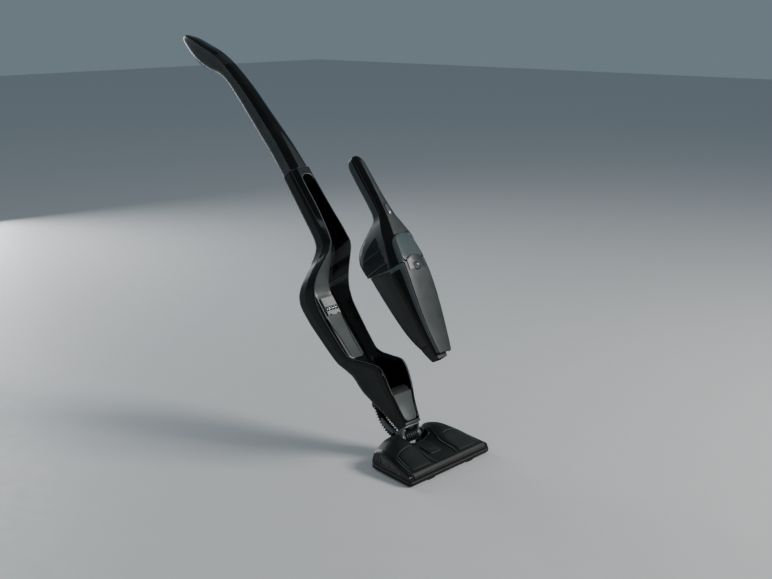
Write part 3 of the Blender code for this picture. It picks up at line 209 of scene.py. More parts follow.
def make_looks():
    """Every finish by name, with the record's slot that it belongs to."""
    return {
        "gloss": (plastic("gloss_black_shell", (0.0028, 0.0026, 0.0018), 0.15, 0.012, 900, 0.2, 0.08, 0.2,
                          0.05,
                          glow=0.26), "gloss_black"),
        "gloss_head": (plastic("gloss_olive_black", (0.006, 0.0058, 0.0034), 0.28, 0.02, 1400, 0.2, 0.05,
                               0.25,
                               glow=0.3), "gloss_black"),
        "matte_black": (plastic("matte_black_plastic", (0.007, 0.0073, 0.007), 0.5, 0.12, 2400, 0.2),
                        "matte_black"),
        "head": (plastic("head_green_black", (0.0085, 0.0092, 0.0075), 0.42, 0.1, 2600, 0.14, 0.0, 0.3,
                         glow=0.3),
                 "head_green_black"),
        "deck": (plastic("deck_teal_black", (0.0125, 0.0145, 0.0138), 0.46, 0.12, 2600, 0.12, 0.0, 0.3,
                         glow=0.3),
                 "matte_grey"),
        "grey": (plastic("satin_teal_grey", (0.019, 0.0235, 0.0238), 0.36, 0.07, 2600, 0.1, 0.0, 0.3),
                 "matte_grey"),
        "plate": (plastic("front_plate_grey", (0.06, 0.068, 0.069), 0.34, 0.07, 2600, 0.1, 0.0, 0.3),
                  "matte_grey"),
        # pale lines: painted highlights along the deck's ridges, plate edges and front lip, and the pale trim
        # of the window frames and bumper
        "line": (plastic("pale_trim_painted_highlight_grey", (0.085, 0.095, 0.094), 0.36, 0.04, 2600, 0.1, 0.0, 0.3),
                 "matte_grey"),
        "olive": (plastic("matte_olive_grey", (0.0125, 0.0138, 0.0118), 0.48, 0.1, 2600, 0.12, 0.0, 0.3,
                          glow=0.35),
                  "matte_grey"),
        "graphite": (plastic("satin_graphite", (0.075, 0.082, 0.082), 0.34, 0.015, 2200, 0.08, 0.1, 0.3, 0.05,
                             metal=0.72), "graphite"),
        # a darker copy of the satin graphite above, for the stick's back cover: painted shade
        "graphite_shaded": (plastic("graphite_painted_shade", (0.03, 0.033, 0.033), 0.36, 0.015, 2200, 0.08, 0.05, 0.3,
                                  0.05,
                                  metal=0.6, glow=0.35), "graphite"),
        "pale": (plastic("pale_satin_grey", (0.11, 0.125, 0.13), 0.33, 0.05, 2200, 0.08, 0.1, 0.3),
                 "pale_grey"),
        "block": (plastic("contact_block_grey", (0.3, 0.305, 0.3), 0.5, 0.1, 2400, 0.08), "pale_grey"),
        "smoke": (plastic("smoked_container", (0.0125, 0.0135, 0.0115), 0.3, 0.03, 1200, 0.15, 0.05, 0.15,
                          0.06,
                          glow=0.35, through=0.12), "smoke_clear"),
        "teal": (plastic("teal_window", (0.055, 0.078, 0.080), 0.26, 0.01, 1200, 0.08, 0.2, 0.2, 0.04),
                 "window_teal"),
        "side_green": (plastic("side_pane_green", (0.011, 0.0145, 0.011), 0.26, 0.06, 1800, 0.2, 0.2),
                       "side_glass"),
        "side_red": (plastic("side_pane_red", (0.010, 0.0045, 0.004), 0.2, 0.02, 1500, 0.2, 0.3),
                     "side_glass"),
        "rubber": (plastic("black_rubber", (0.0075, 0.0075, 0.0072), 0.6, 0.1, 1800, 0.25, wear=0.1,
                           glow=0.25),
                   "rubber_black"),
        "hose": (plastic("hose_plastic", (0.0055, 0.0055, 0.005), 0.38, 0.08, 1800, 0.2, 0.0, 0.35),
                 "hose_black"),
        "bristle": (fibrous("nylon_bristle", (0.05, 0.05, 0.052), 900), "bristle_grey"),
        "filter": (fibrous("pleated_filter", (0.5, 0.5, 0.47), 420), "filter_white"),
        "steel": (plastic("turned_steel", (0.5, 0.5, 0.5), 0.3, 0.1, 3000, 0.06, metal=1.0), "steel"),
        "bright": (plastic("bright_metal", (0.62, 0.62, 0.6), 0.2, 0.03, 2500, 0.05, metal=1.0),
                   "bright_metal"),
        "silver": (plastic("silver_button", (0.06, 0.072, 0.073), 0.36, 0.05, 2500, 0.05, 0.1, metal=0.3),
                   "bright_metal"),
        "cells": (plastic("cell_wrap_blue", (0.03, 0.06, 0.12), 0.35, 0.02, 900, 0.08), "cell_wrap"),
        "board": (plastic("board_green", (0.01, 0.07, 0.03), 0.4, 0.2, 700, 0.15), "board_green"),
    }


# ---------------------------------------------------------------- mesh helpers


def smooth(table, at):
    """A smooth value at one station of a (position, value) table, with no overshoot."""
    x = np.array([row[0] for row in table], float)
    y = np.array([row[1] for row in table], float)
    at = min(max(at, x[0]), x[-1])
    step = np.diff(x)
    slope = np.diff(y) / step
    ends = np.concatenate([[slope[0]], slope, [slope[-1]]])
    product = ends[:-1] * ends[1:]
    tangent = np.where(product > 0, 2 * product / (ends[:-1] + ends[1:] + 1e-12 * (product <= 0)), 0.0)
    i = min(int(np.searchsorted(x, at, side="right")) - 1, len(step) - 1)
    t = (at - x[i]) / step[i]
    rise = (1 + 2 * t) * (1 - t) ** 2 * y[i] + t * t * (3 - 2 * t) * y[i + 1]
    return float(rise + step[i] * (t * (1 - t) ** 2 * tangent[i] - t * t * (1 - t) * tangent[i + 1]))


def rounded(points, radii, parts=6):
    """Rounds the corners of an open path."""
    made = []
    for i, (corner, radius) in enumerate(zip(points, radii)):
        corner = np.array(corner, float)
        if not radius:
            made.append(corner)
            continue
        before = np.array(points[i - 1], float) - corner
        after = np.array(points[(i + 1) % len(points)], float) - corner
        reach = min(radius, 0.45 * np.linalg.norm(before), 0.45 * np.linalg.norm(after))
        start = corner + before / np.linalg.norm(before) * reach
        end = corner + after / np.linalg.norm(after) * reach
        for k in range(parts + 1):
            t = k / parts
            made.append((1 - t) ** 2 * start + 2 * t * (1 - t) * corner + t * t * end)
    return made


def inset(points, depth):
    """Moves an open path sideways by depth, to its left as it runs."""
    points = [np.array(p, float) for p in points]
    made = []
    for i, point in enumerate(points):
        runs = []
        if i:
            runs.append(point - points[i - 1])
        if i < len(points) - 1:
            runs.append(points[i + 1] - point)
        normals = [np.array([-r[1], r[0]]) / np.linalg.norm(r) for r in runs]
        if len(normals) == 1:
            made.append(point + normals[0] * depth)
        else:
            made.append(point + (normals[0] + normals[1]) * depth / (1 + normals[0] @ normals[1]))
    return made


def shell_ring(points, radii, depth, parts=6):
    """The closed outline of a wall that follows an open path."""
    inner = inset(points, depth)
    return rounded(points, radii, parts) + rounded(inner, radii, parts)[::-1]


def level(outline, z):
    """A plan outline placed at one height."""
    return [(p[0], p[1], z) for p in outline]


def rear_ring(half, seam, rear, radius, wall, parts=10):
    """The closed outline of a wall that is open towards the front."""
    path = [(-half, seam), (-half, rear), (half, rear), (half, seam)]
    return shell_ring(path, [0, radius, radius, 0], -wall, parts)


def corner_pull(near, radius):
    """How far a rounded corner draws an edge in, this near to the plate's end."""
    return radius * (1 - math.sqrt(max(0.0, 1 - (1 - min(1.0, near / max(radius, 0.01))) ** 2)))


def span(low, high, step):
    """Even heights between two ends, about a step apart."""
    return [float(v) for v in np.linspace(low, high, max(2, round((high - low) / step)) + 1)]


def put(name, bm, space, body, look, replaces=(), angle=32):
    """Makes a shown piece from a bmesh in millimetres: placed, shaded, finished and riding on its body."""
    bmesh.ops.recalc_face_normals(bm, faces=bm.faces)
    bm.transform(space @ Matrix.Scale(MM, 4))
    mesh = bpy.data.meshes.new(name)
    bm.to_mesh(mesh)
    bm.free()
    mesh.shade_smooth()
    mesh.set_sharp_from_angle(angle=math.radians(angle))
    obj = bpy.data.objects.new(name, mesh)
    bpy.context.scene.collection.objects.link(obj)
    material, slot = LOOKS[look]
    mesh.materials.append(material)
    if body:
        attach(obj, body)
    if replaces:
        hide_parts(*replaces)
    return obj


def skin(bm, rings, closed_caps="strip"):
    """Faces between rings of equal length; the ends are closed as a wall's strip or as one face."""
    rows = [[bm.verts.new(p) for p in ring] for ring in rings]
    count = len(rows[0])
    for low, high in zip(rows, rows[1:]):
        for i in range(count):
            j = (i + 1) % count
            bm.faces.new((low[i], low[j], high[j], high[i]))
    for row in (rows[0], rows[-1]):
        if closed_caps == "face":
            bm.faces.new(row)
            continue
        half = count // 2
        for i in range(half - 1):
            bm.faces.new((row[i], row[i + 1], row[count - 2 - i], row[count - 1 - i]))
    return bm


def loft(name, rings, space, body, look, replaces=(), caps="strip", angle=32):
    """A closed solid through rings of equal length."""
    return put(name, skin(bmesh.new(), rings, caps), space, body, look, replaces, angle)


def soften(obj, width, segments=2, angle=40):
    """Rounds an object's sharp edges by a width in millimetres."""
    mod = obj.modifiers.new("edge", "BEVEL")
    mod.width = width * MM
    mod.segments = segments
    mod.limit_method = "ANGLE"
    mod.angle_limit = math.radians(angle)
    mod.harden_normals = True
    return obj


def cut(obj, bm, space):
    """Cuts a bmesh in millimetres out of an object and applies the result."""
    bmesh.ops.recalc_face_normals(bm, faces=bm.faces)
    bm.transform(space @ Matrix.Scale(MM, 4))
    mesh = bpy.data.meshes.new("cutter")
    bm.to_mesh(mesh)
    bm.free()
    cutter = bpy.data.objects.new("cutter", mesh)
    bpy.context.scene.collection.objects.link(cutter)
    mod = obj.modifiers.new("cut", "BOOLEAN")
    mod.solver = "EXACT"
    mod.object = cutter
    bpy.context.view_layer.update()
    result = bpy.data.meshes.new_from_object(obj.evaluated_get(bpy.context.evaluated_depsgraph_get()))
    obj.modifiers.remove(mod)
    obj.data = result
    result.shade_smooth()
    result.set_sharp_from_angle(angle=math.radians(32))
    bpy.data.objects.remove(cutter, do_unlink=True)
    return obj


def tube(bm, path, radius, sides=8, flat=1.0, up=(0, 0, 1)):
    """Sweeps a round or flattened section along 3D points, with closed ends."""
    path = [Vector(p) for p in path]
    rows = []
    for i, point in enumerate(path):
        run = (path[min(i + 1, len(path) - 1)] - path[max(i - 1, 0)]).normalized()
        side = run.cross(Vector(up)).normalized()
        lift = side.cross(run).normalized()
        size = radius(i / (len(path) - 1)) if callable(radius) else radius
        rows.append([bm.verts.new(point + side * size * math.cos(a) + lift * size * flat * math.sin(a))
                     for a in turns(sides)])
    for low, high in zip(rows, rows[1:]):
        for i in range(sides):
            j = (i + 1) % sides
            bm.faces.new((low[i], low[j], high[j], high[i]))
    bm.faces.new(rows[0][::-1])
    bm.faces.new(rows[-1])
    return bm


def wire(name, paths, radius, space, body, look, sides=8, flat=1.0, up=(0, 0, 1)):
    """Makes one piece of round lines swept along several paths."""
    bm = bmesh.new()
    for path in paths:
        tube(bm, path, radius, sides, flat, up)
    return put(name, bm, space, body, look)


def slug(radius, reach, centre, axis, sides=48):
    """A round cutter, so far to either side of its centre."""
    return lathe(bmesh.new(), [(-reach, 0), (-reach, radius), (reach, radius), (reach, 0)], centre, axis,
                 sides)


def turns(count):
    """Even angles round a circle."""
    return [2 * math.pi * k / count for k in range(count)]


def box(bm, low, high, matrix=None):
    """Adds a box between two corners."""
    size = Vector(high) - Vector(low)
    middle = Matrix.Translation((Vector(high) + Vector(low)) / 2)
    place = (matrix or Matrix.Identity(4)) @ middle @ Matrix.Diagonal((*size, 1))
    bmesh.ops.create_cube(bm, size=1, matrix=place)
    return bm


def lathe(bm, profile, centre, axis, sides=48):
    """Turns (along, radius) pairs that start and end on the axis."""
    turn = Vector((0, 0, 1)).rotation_difference(Vector(axis)).to_matrix().to_4x4()
    place = Matrix.Translation(Vector(centre)) @ turn
    first = bm.verts.new(place @ Vector((0, 0, profile[0][0])))
    last = bm.verts.new(place @ Vector((0, 0, profile[-1][0])))
    rows = [[bm.verts.new(place @ Vector((r * math.cos(a), r * math.sin(a), z))) for a in turns(sides)]
            for z, r in profile[1:-1]]
    for i in range(sides):
        j = (i + 1) % sides
        bm.faces.new((first, rows[0][j], rows[0][i]))
        bm.faces.new((last, rows[-1][i], rows[-1][j]))
        for low, high in zip(rows, rows[1:]):
            bm.faces.new((low[i], low[j], high[j], high[i]))
    return bm


def pipe(bm, path, radii, sides=40, wall=1.6):
    """A hollow pipe through (depth, height) points in the middle plane, with a radius at each."""
    path = [np.array(p, float) for p in path]
    rings = []
    for i, point in enumerate(path):
        run = path[min(i + 1, len(path) - 1)] - path[max(i - 1, 0)]
        side = np.array([-run[1], run[0]]) / np.linalg.norm(run)
        rings.append((point, side, radii[i]))
    rows = []
    for shrink, order in ((0.0, rings), (wall, rings[::-1])):
        for point, side, radius in order:
            size = radius - shrink if shrink == 0 else min(radii) - shrink
            rows.append([bm.verts.new((size * math.cos(a), point[0] + side[0] * size * math.sin(a),
                                       point[1] + side[1] * size * math.sin(a))) for a in turns(sides)])
    rows.append(rows[0])
    for low, high in zip(rows, rows[1:]):
        for i in range(sides):
            j = (i + 1) % sides
            bm.faces.new((low[i], low[j], high[j], high[i]))
    return bm


def eased(points, count):
    """Points of a smooth curve through a few (a, b) or (a, b, c) points."""
    keys = np.array(points, float)
    along = np.concatenate([[0], np.cumsum(np.linalg.norm(np.diff(keys, axis=0), axis=1))])
    columns = [[(along[i], keys[i][c]) for i in range(len(keys))] for c in range(keys.shape[1])]
    return [tuple(smooth(col, t) for col in columns) for t in np.linspace(0, along[-1], count)]


# ---------------------------------------------------------------- stick


def spine_path(z):
    """The front body's section at one height: outer sides, rim and the sunk dish."""
    body = smooth(BODY_HALF, z)
    front = smooth(RIM_FRONT, z)
    side = [(-body, smooth(SEAM_Y, z)), (-body, front + smooth(CORNER_Y, z)), (-smooth(RIM_OUT, z), front),
            (-smooth(RIM_IN, z), front), (-smooth(FLOOR_HALF, z), smooth(FLOOR_Y, z))]
    return side + [(-x, y) for x, y in side[::-1]]


SPINE_RADII = [0, 2.4, 1.6, 1.2, 9, 9, 1.2, 1.6, 2.4, 0]


def add_stick_front():
    """The gloss front body with its deep dish, and the thin pale bead round the dish's rim."""
    rings = [level(shell_ring(spine_path(z), SPINE_RADII, WALL, 5), z) for z in span(STICK_LOW, STICK_TOP, 4)]
    body = loft("stick_front_body", rings, STICK, "stick", "gloss", ["stick_spine"])
    cut(body, slug(8.6, 12, (0, 15, 98), (0, 0.9, -0.44)), STICK)
    bead = [[(side * (smooth(RIM_IN, z) + 0.5), smooth(RIM_FRONT, z) - 0.15, z) for z in span(84, 572, 4)]
            for side in (-1, 1)]
    wire("dish_rim_bead", bead, 0.95, STICK, "stick", "pale", up=(0, 1, 0))
    seams = [[(side * (smooth(BODY_HALF, z) + 0.05), smooth(SEAM_Y, z) + 0.15, z) for z in span(30, 598, 5)]
             for side in (-1, 1)]
    wire("side_seam_line", seams, 0.42, STICK, "stick", "matte_black", 6, up=(0, 1, 0))


def add_rear_covers():
    """The olive cup shell and the satin back cover, with the latch opening."""
    # The back cover takes the darker copy of the satin graphite: painted shade.
    covers = (("cup_rear_shell", STICK_LOW, CUP_TOP, "olive", "cup_shell"),
              ("stick_back_cover", CUP_TOP + 0.5, STICK_TOP, "graphite_shaded", "back_cover"))
    for name, low, high, look, node in covers:
        rings = []
        for z in span(low, high, 4):
            body, seam, rear = smooth(BODY_HALF, z), smooth(SEAM_Y, z) + GAP, smooth(REAR_Y, z)
            rings.append(level(rear_ring(body, seam, rear, smooth(REAR_R, z), WALL), z))
        obj = loft(name, rings, STICK, "stick", look, [node])
        if node == "cup_shell":
            hole = slug(11.4, 13, (0, 27, 101.5), (0, 0.9, -0.46))
        else:
            hole = key_prism(13.4, 22.4, 8, LATCH_Z, -44, -18)
        cut(obj, hole, STICK)


def oval(half_x, half_z, parts):
    """A rounded outline for a button."""
    corners = [(-half_x, -half_z), (half_x, -half_z), (half_x, half_z), (-half_x, half_z)]
    return rounded(corners, [2 * half_x] * 4, parts)


def key_prism(half_x, half_z, parts, height, front, rear):
    """A cutter the shape of a button, from one depth to another."""
    outline = [(x, height + z) for x, z in oval(half_x, half_z, parts)]
    return skin(bmesh.new(), [[(x, y, z) for x, z in outline] for y in (front, rear)], "face")


def add_latch():
    """The domed release latch with the dark hinge gap at either end."""
    rings = []
    for y, shrink in ((-4.2, 0.4), (1.0, 0.4), (2.6, 0.7), (3.9, 1.5), (4.9, 2.8), (5.4, 4.6)):
        outline = oval(13.2 - shrink, 22.0 - shrink, 8)
        rings.append([(x, y - 29 - 0.022 * x * x, z + LATCH_Z) for x, z in outline])
    loft("latch_button", rings, STICK, "latch", "pale", ["release_latch"], "face", 40)
    gaps = [[(x, -28.3 - 0.03 * x * x, z) for x in span(-13, 13, 1.5)]
            for z in (LATCH_Z - 18.8, LATCH_Z + 18.8)]
    wire("latch_gaps", gaps, 0.9, STICK, "latch", "matte_black")


def dish_line(z, lift):
    """The dish's inner line at one height, lifted off its wall."""
    path = spine_path(z)[3:7]
    return rounded(inset(path, -lift), [0, 8.6, 8.6, 0], 6)


def add_liner():
    """The satin panel on the dish floor, following the stick's bends, with its side grooves."""
    rings = []
    for z in span(198, 444, 3):
        half = smooth(FLOOR_HALF, z) - 3.5 - 9 * max(0.0, (206 - z) / 8) ** 2
        y = smooth(FLOOR_Y, z) - GAP
        left = [(-half, y), (-half - 1.0, y - 1.3), (-half + 4, y - 2)]
        outline = left + [(-x, depth) for x, depth in left[::-1]]
        rings.append(level(rounded(outline, [0, 0.6, 3, 3, 0.6, 0], 3), z))
    loft("cradle_panel", rings, STICK, "stick", "plate", ["cradle_liner"], "face")
    reach = [(201, 14.5), (246, 16), (271, 20), (299, 22.5)]
    lines = [[(side * smooth(reach, z), smooth(FLOOR_Y, z) - 2.35, z) for z in span(201, 300, 4)]
             for side in (-1, 1)]
    wire("cradle_groove_lines", lines, lambda t: 0.3 + 0.75 * math.sin(math.pi * min(1, t + 0.02)) ** 0.5,
         STICK, "stick", "matte_black", up=(0, 1, 0))


def add_recess_top():
    """The grey cap that ends the hollow above the docked hand unit, with its pale arched rim."""
    rings = []
    for z in span(568, 602.6, 3):
        half, y = smooth(RIM_IN, z) - 0.2, smooth(RIM_FRONT, z)
        path = [(-half, y + 13), (-half, y + 0.5), (half, y + 0.5), (half, y + 13)]
        rings.append(level(rounded(path, [0, 2, 2, 0], 4), z))
    cap = loft("recess_cap", rings, STICK, "stick", "grey", (), "face")
    arch = [(16.4 * math.cos(a), 574 + 13 * math.sin(a)) for a in span(0, math.pi, 0.16)]
    hole = bmesh.new()
    outline = [(16.4, 560), *arch, (-16.4, 560)]
    skin(hole, [[(x, y, z) for x, z in outline] for y in (-95, -50)], "face")
    cut(cap, hole, STICK)
    rim = [(x * 1.02, smooth(RIM_FRONT, z) + 0.3, z + 0.3) for x, z in arch]
    wire("recess_arch_rim", [rim], 0.8, STICK, "stick", "pale", up=(0, 1, 0))


def add_flare_bands():
    """Satin bands across the dish's flared side walls in the bend."""
    bands = bmesh.new()
    for low, high in ((399, 420), (364, 373)):
        for side in (-1, 1):
            rings = []
            for z in span(low, high, 2):
                near = dish_line(z, 0.35)
                count = len(near) // 2 - 2
                ring = near[:count] + dish_line(z, 1.1)[:count][::-1]
                rings.append([(-side * x, y, z) for x, y in ring])
            skin(bands, rings)
    put("flare_bands", bands, STICK, "stick", "grey")


def add_contact_block():
    """The pale contact block: four windows in a row, each with a sprung contact, and two foot notches."""
    y = smooth(FLOOR_Y, 324) - 2 * GAP - 1.8
    bm = box(bmesh.new(), (-18.5, y - 4.4, 303.5), (18.5, y, 344.5))
    block = put("contact_block_body", bm, STICK, "stick", "block", ["contact_block"])
    holes = bmesh.new()
    for x in CONTACT_X:
        box(holes, (x - 3.6, y - 6, 313.5), (x + 3.6, y - 1.2, 323.5))
    for x in (-11.5, 11.5):
        box(holes, (x - 3.2, y - 6, 301), (x + 3.2, y - 1.2, 306.4))
    soften(cut(block, holes, STICK), 0.5)
    backs = box(bmesh.new(), (-17.9, y - 1.6, 304.2), (17.9, y - 1.0, 324.2))
    put("contact_block_shadow", backs, STICK, "stick", "matte_black")
    pins = bmesh.new()
    for x in CONTACT_X:
        profile = [(-1, 0), (-1, 2.1), (3.2, 2.1), (3.9, 1.5), (4.1, 0)]
        lathe(pins, profile, (x, y - 1.2, 318.5), (0, -1, 0), 20)
    put("contact_pin_domes", pins, STICK, "stick", "bright")
    lip = [(x, y - 4.5, 343.4) for x in span(-17, 17, 4)]
    wire("contact_block_rim", [lip], 0.5, STICK, "stick", "block", up=(0, 1, 0))


def add_cup():
    """The cup's front plate and its perforated seat band."""
    rings = []
    for z in span(26, 83, 2.4):
        y = smooth(RIM_FRONT, z)
        corner = max(0.0, 1 - (z - 26) / 9)
        half = smooth(RIM_IN, z) - 2.0 - 5 * corner ** 2
        path = [(-half, y + 4.2), (-half, y + 0.6), (0, y - 0.5), (half, y + 0.6), (half, y + 4.2)]
        rings.append(level(rounded(path, [0, 3, 20, 3, 0], 6), z))
    loft("cup_front_plate", rings, STICK, "stick", "plate", ["front_plate"], "face")
    seat = bmesh.new()
    rings = []
    for z, depth in ((84, 4.4), (90, 6.5), (97, 10.5), (101, 15.5)):
        half = smooth(RIM_IN, z) - 1.2 - 0.45 * depth
        y = smooth(RIM_FRONT, z) + depth
        outline = [(-half, y + 1.4), (-half, y), (half, y), (half, y + 1.4)]
        rings.append(level(rounded(outline, [0, 4, 4, 0], 4), z))
    skin(seat, rings, "face")
    put("seat_band", seat, STICK, "stick", "matte_black")
    bars = []
    for lean in (-1, 1):
        for k in range(-7, 8):
            x = 4.6 * k
            path = []
            for t in (0.0, 0.33, 0.66, 1.0):
                z = 84.5 + 15.5 * t
                depth = 4.4 + 10.0 * t ** 1.6
                half = smooth(RIM_IN, z) - 2.4 - 0.45 * depth
                at = x + lean * 10 * (t - 0.5)
                if abs(at) < half:
                    path.append((at, smooth(RIM_FRONT, z) + depth - 0.3, z))
            if len(path) > 1:
                bars.append(path)
    wire("seat_band_lattice", bars, 0.55, STICK, "stick", "olive", 6, up=(0, 1, 0))


def add_neck():
    """Teardrop horns, ribbed drum, hose collar, elbow and the ribbed hose."""
    for side, tag in ((-1, "L"), (1, "R")):
        rings = []
        for t in span(0, 1, 0.05):
            z = 18.6 + 39.6 * t
            x = smooth([(0, 25), (0.4, 29.5), (0.75, 31.6), (1, 32)], t)
            y = smooth([(0, 9.5), (0.4, 14), (0.75, 17), (1, 17.5)], t)
            full = math.sqrt(max(0.0, 1 - max(0.0, (t - 0.6) / 0.4) ** 2)) if t < 1 else 0.05
            rx, ry = (3.6 - 0.9 * t) * max(full, 0.05), (5.6 - 0.6 * t) * max(full, 0.05)
            rings.append([(side * x + rx * math.cos(a), y + ry * math.sin(a), z) for a in turns(24)])
        loft(f"horn_{tag}", rings, STICK, "stick", "pale", [f"stick_horn_{tag}"], "face", 50)
    drum = bmesh.new()
    profile = [(-19.6, 0)]
    for k in range(6):
        x = -19.6 + 6.4 * k
        profile += [(x, 9.4), (x + 1.4, 11.2), (x + 2.2, 11.6), (x + 4.0, 11.6), (x + 4.8, 11.2),
                    (x + 6.2, 9.4)]
    profile.append((profile[-1][0], 0))
    lathe(drum, profile, (0, 0, 0), (1, 0, 0), 48)
    for a in turns(22):
        for k in range(6):
            x = -19.6 + 6.4 * k + 3.1
            place = Matrix.Rotation(a + 0.14 * (k % 2), 4, "X")
            box(drum, (x - 1.5, -0.55, 11.2), (x + 1.5, 0.55, 12.3), place)
    put("neck_ribbed_drum", drum, STICK, "neck", "matte_black", ["neck_drum"])
    collar = bmesh.new()
    points = eased([(24.8, 103.6), (33, 101.2), (39.2, 96.6), (42, 92), (42.4, 87.6)], 24)
    radii = [9.2 + 1.4 * (i / 23) + (0.7 if i > 16 else 0) for i in range(24)]
    pipe(collar, points, radii)
    put("hose_collar", collar, STICK, "stick", "matte_black", ["hose_outlet"])
    elbow = bmesh.new()
    points = eased([(34, 9.5), (34, 2), (29, -4.5), (22, -6), (12.4, -4.6)], 26)
    radii = [10.2 if i < 4 else 9.4 - 4.0 * max(0, (i - 10) / 15) for i in range(26)]
    pipe(elbow, points, radii, wall=1.2)
    put("hose_lower_elbow", elbow, STICK, "neck", "matte_black", ["hose_elbow"])
    add_hose()


def add_hose():
    """The corrugated hose: thirteen sharp ribs, fixed in the scene at the stick's rest pose."""
    ribs = 13
    per_rib = 8
    path = eased([(42.4, 87.0), (44.6, 76), (46, 60), (43, 40), (36.4, 22), (34, 10.2)], ribs * per_rib + 1)
    radii = []
    for i in range(ribs * per_rib + 1):
        phase = (i % per_rib) / per_rib
        crest = max(0.0, 1 - abs(phase - 0.5) / 0.34)
        radii.append(7.6 + 3.3 * crest ** 0.8)
    hose = bmesh.new()
    pipe(hose, path, radii, 40, 1.1)
    obj = put("ribbed_hose", hose, STICK, None, "hose", ["suction_hose"], 50)
    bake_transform(obj)


# ---------------------------------------------------------------- shaft and grip


def shaft_path(z):
    """The crowned front line of the shaft at one height."""
    half, seam, crown = smooth(SHAFT_HALF, z), smooth(SHAFT_SEAM, z), smooth(SHAFT_CROWN, z)
    left = [(-half, seam), (-half * 0.88, seam - 0.35 * crown), (-half * 0.5, seam - crown)]
    return left + [(-x, y) for x, y in left[::-1]]


def front_rings(low, high, step, lift=0.0):
    """Wall rings of one length of the shaft's front."""
    rings = []
    for z in span(low, high, step):
        path = [(x, y - lift) for x, y in shaft_path(z)]
        outer = rounded(path, [0, 2.5, 5, 5, 2.5, 0], 5)
        seam = path[0][1]
        inner = [(p[0] * 0.86, min(p[1] + 2.4, seam)) for p in outer]
        rings.append(level([*outer, *inner[::-1]], z))
    return rings


def add_shaft():
    """The gloss shaft front and grip top, the satin rear, the switch and the parting lines."""
    loft("shaft_front_cover", front_rings(SHAFT_LOW, PAD_LOW - GAP, 4), STICK, "stick", "gloss",
         ["shaft_front"])
    loft("grip_top_cover", front_rings(PAD_HIGH + GAP, GRIP_TOP - 2.6, 2), STICK, "stick", "gloss",
         ["grip_top"])
    rings = []
    for z in span(SHAFT_LOW, GRIP_TOP - 2.6, 3):
        half = smooth(SHAFT_HALF, z)
        seam = smooth(SHAFT_SEAM, z) + GAP
        rear = max(smooth(SHAFT_REAR, z), seam + 4)
        rings.append(level(rear_ring(half, seam, rear, 0.9 * half, min(WALL, 0.35 * half)), z))
    loft("shaft_rear_cover", rings, STICK, "stick", "graphite", ["shaft_back"])
    rings = front_rings(PAD_LOW + 0.2, PAD_HIGH - 0.2, 2, -0.25)
    loft("switch_rocker", rings, STICK, "stick_switch", "olive", ["switch_pad"])
    add_shaft_trim()
    rings = []
    for z in span(924, 985, 2.5):
        t = (z - 924) / 61
        half = smooth(SHAFT_HALF, z) * 0.62 * math.sqrt(max(0.02, 1 - (2 * t - 1) ** 4))
        rear = smooth(SHAFT_REAR, z)
        line = [(half * u, rear + 0.15 + 1.25 * (1 - u * u)) for u in span(-1, 1, 0.2)]
        rings.append(level([*line, (half, rear - 1.2), (-half, rear - 1.2)], z))
    loft("grip_insert", rings, STICK, "stick", "rubber", ["grip_pad"], "face")
    nub = bmesh.new()
    lathe(nub, [(-2.6, 0), (-2.6, 4.2), (1.4, 4.0), (2.6, 3.0), (2.9, 0)],
          (0, smooth(SHAFT_REAR, 870) + 3.6, 868),
          (0, 1, -0.35), 32)
    put("wall_nub", nub, STICK, "stick", "rubber", ["wall_bumper"])


def add_shaft_trim():
    """The tapering grey strip on the shaft's front, its seam and the grip's parting lines."""
    rings = []
    for z in span(604.5, 700, 2.5):
        half = 9.6 * (1 - (z - 604.5) / 95.5) ** 0.62 + 0.15
        front = smooth(SHAFT_SEAM, z) - smooth(SHAFT_CROWN, z)
        line = [(half * u, front - 0.5 - 0.5 * (1 - u * u)) for u in span(-1, 1, 0.25)]
        rings.append(level([*line, (half, front + 1.2), (-half, front + 1.2)], z))
    loft("shaft_front_strip", rings, STICK, "stick", "grey", (), "face")
    lines = bmesh.new()
    for side in (-1, 1):
        path = []
        for z in span(884, 1030, 3):
            half, seam = smooth(SHAFT_HALF, z), smooth(SHAFT_SEAM, z)
            path.append((side * (half + 0.02), seam + 0.42 * (max(smooth(SHAFT_REAR, z), seam + 4) - seam),
                         z))
        tube(lines, path, 0.3, 6, up=(0, 1, 0))
        path = [(side * (smooth(SHAFT_HALF, z) + 0.03), smooth(SHAFT_SEAM, z) + 0.15, z)
                for z in span(606, 1030, 4)]
        tube(lines, path, 0.45, 6, up=(0, 1, 0))
    put("grip_parting_lines", lines, STICK, "stick", "matte_black")
    line = rounded(shaft_path(SHAFT_LOW), [0, 2.5, 5, 5, 2.5, 0], 5)
    joint = [(p[0] * 1.004, p[1] - 0.1, SHAFT_LOW - 0.5) for p in line]
    wire("shaft_joint_line", [joint], 0.4, STICK, "stick", "pale", 6)


# ---------------------------------------------------------------- hand unit


def hand_path(z):
    """The hand unit's front section at one height."""
    half = smooth(HAND_HALF, z)
    face = min(smooth(HAND_FACE, z), half - 2)
    front, seam = smooth(HAND_FRONT, z), smooth(HAND_SEAM, z)
    side = front + min(smooth(HAND_CORNER, z), seam - front - 2.5)
    return [(-half, seam), (-half, side), (-face, front), (face, front), (half, side), (half, seam)]


HAND_RADII = [0, 7, 4, 4, 7, 0]


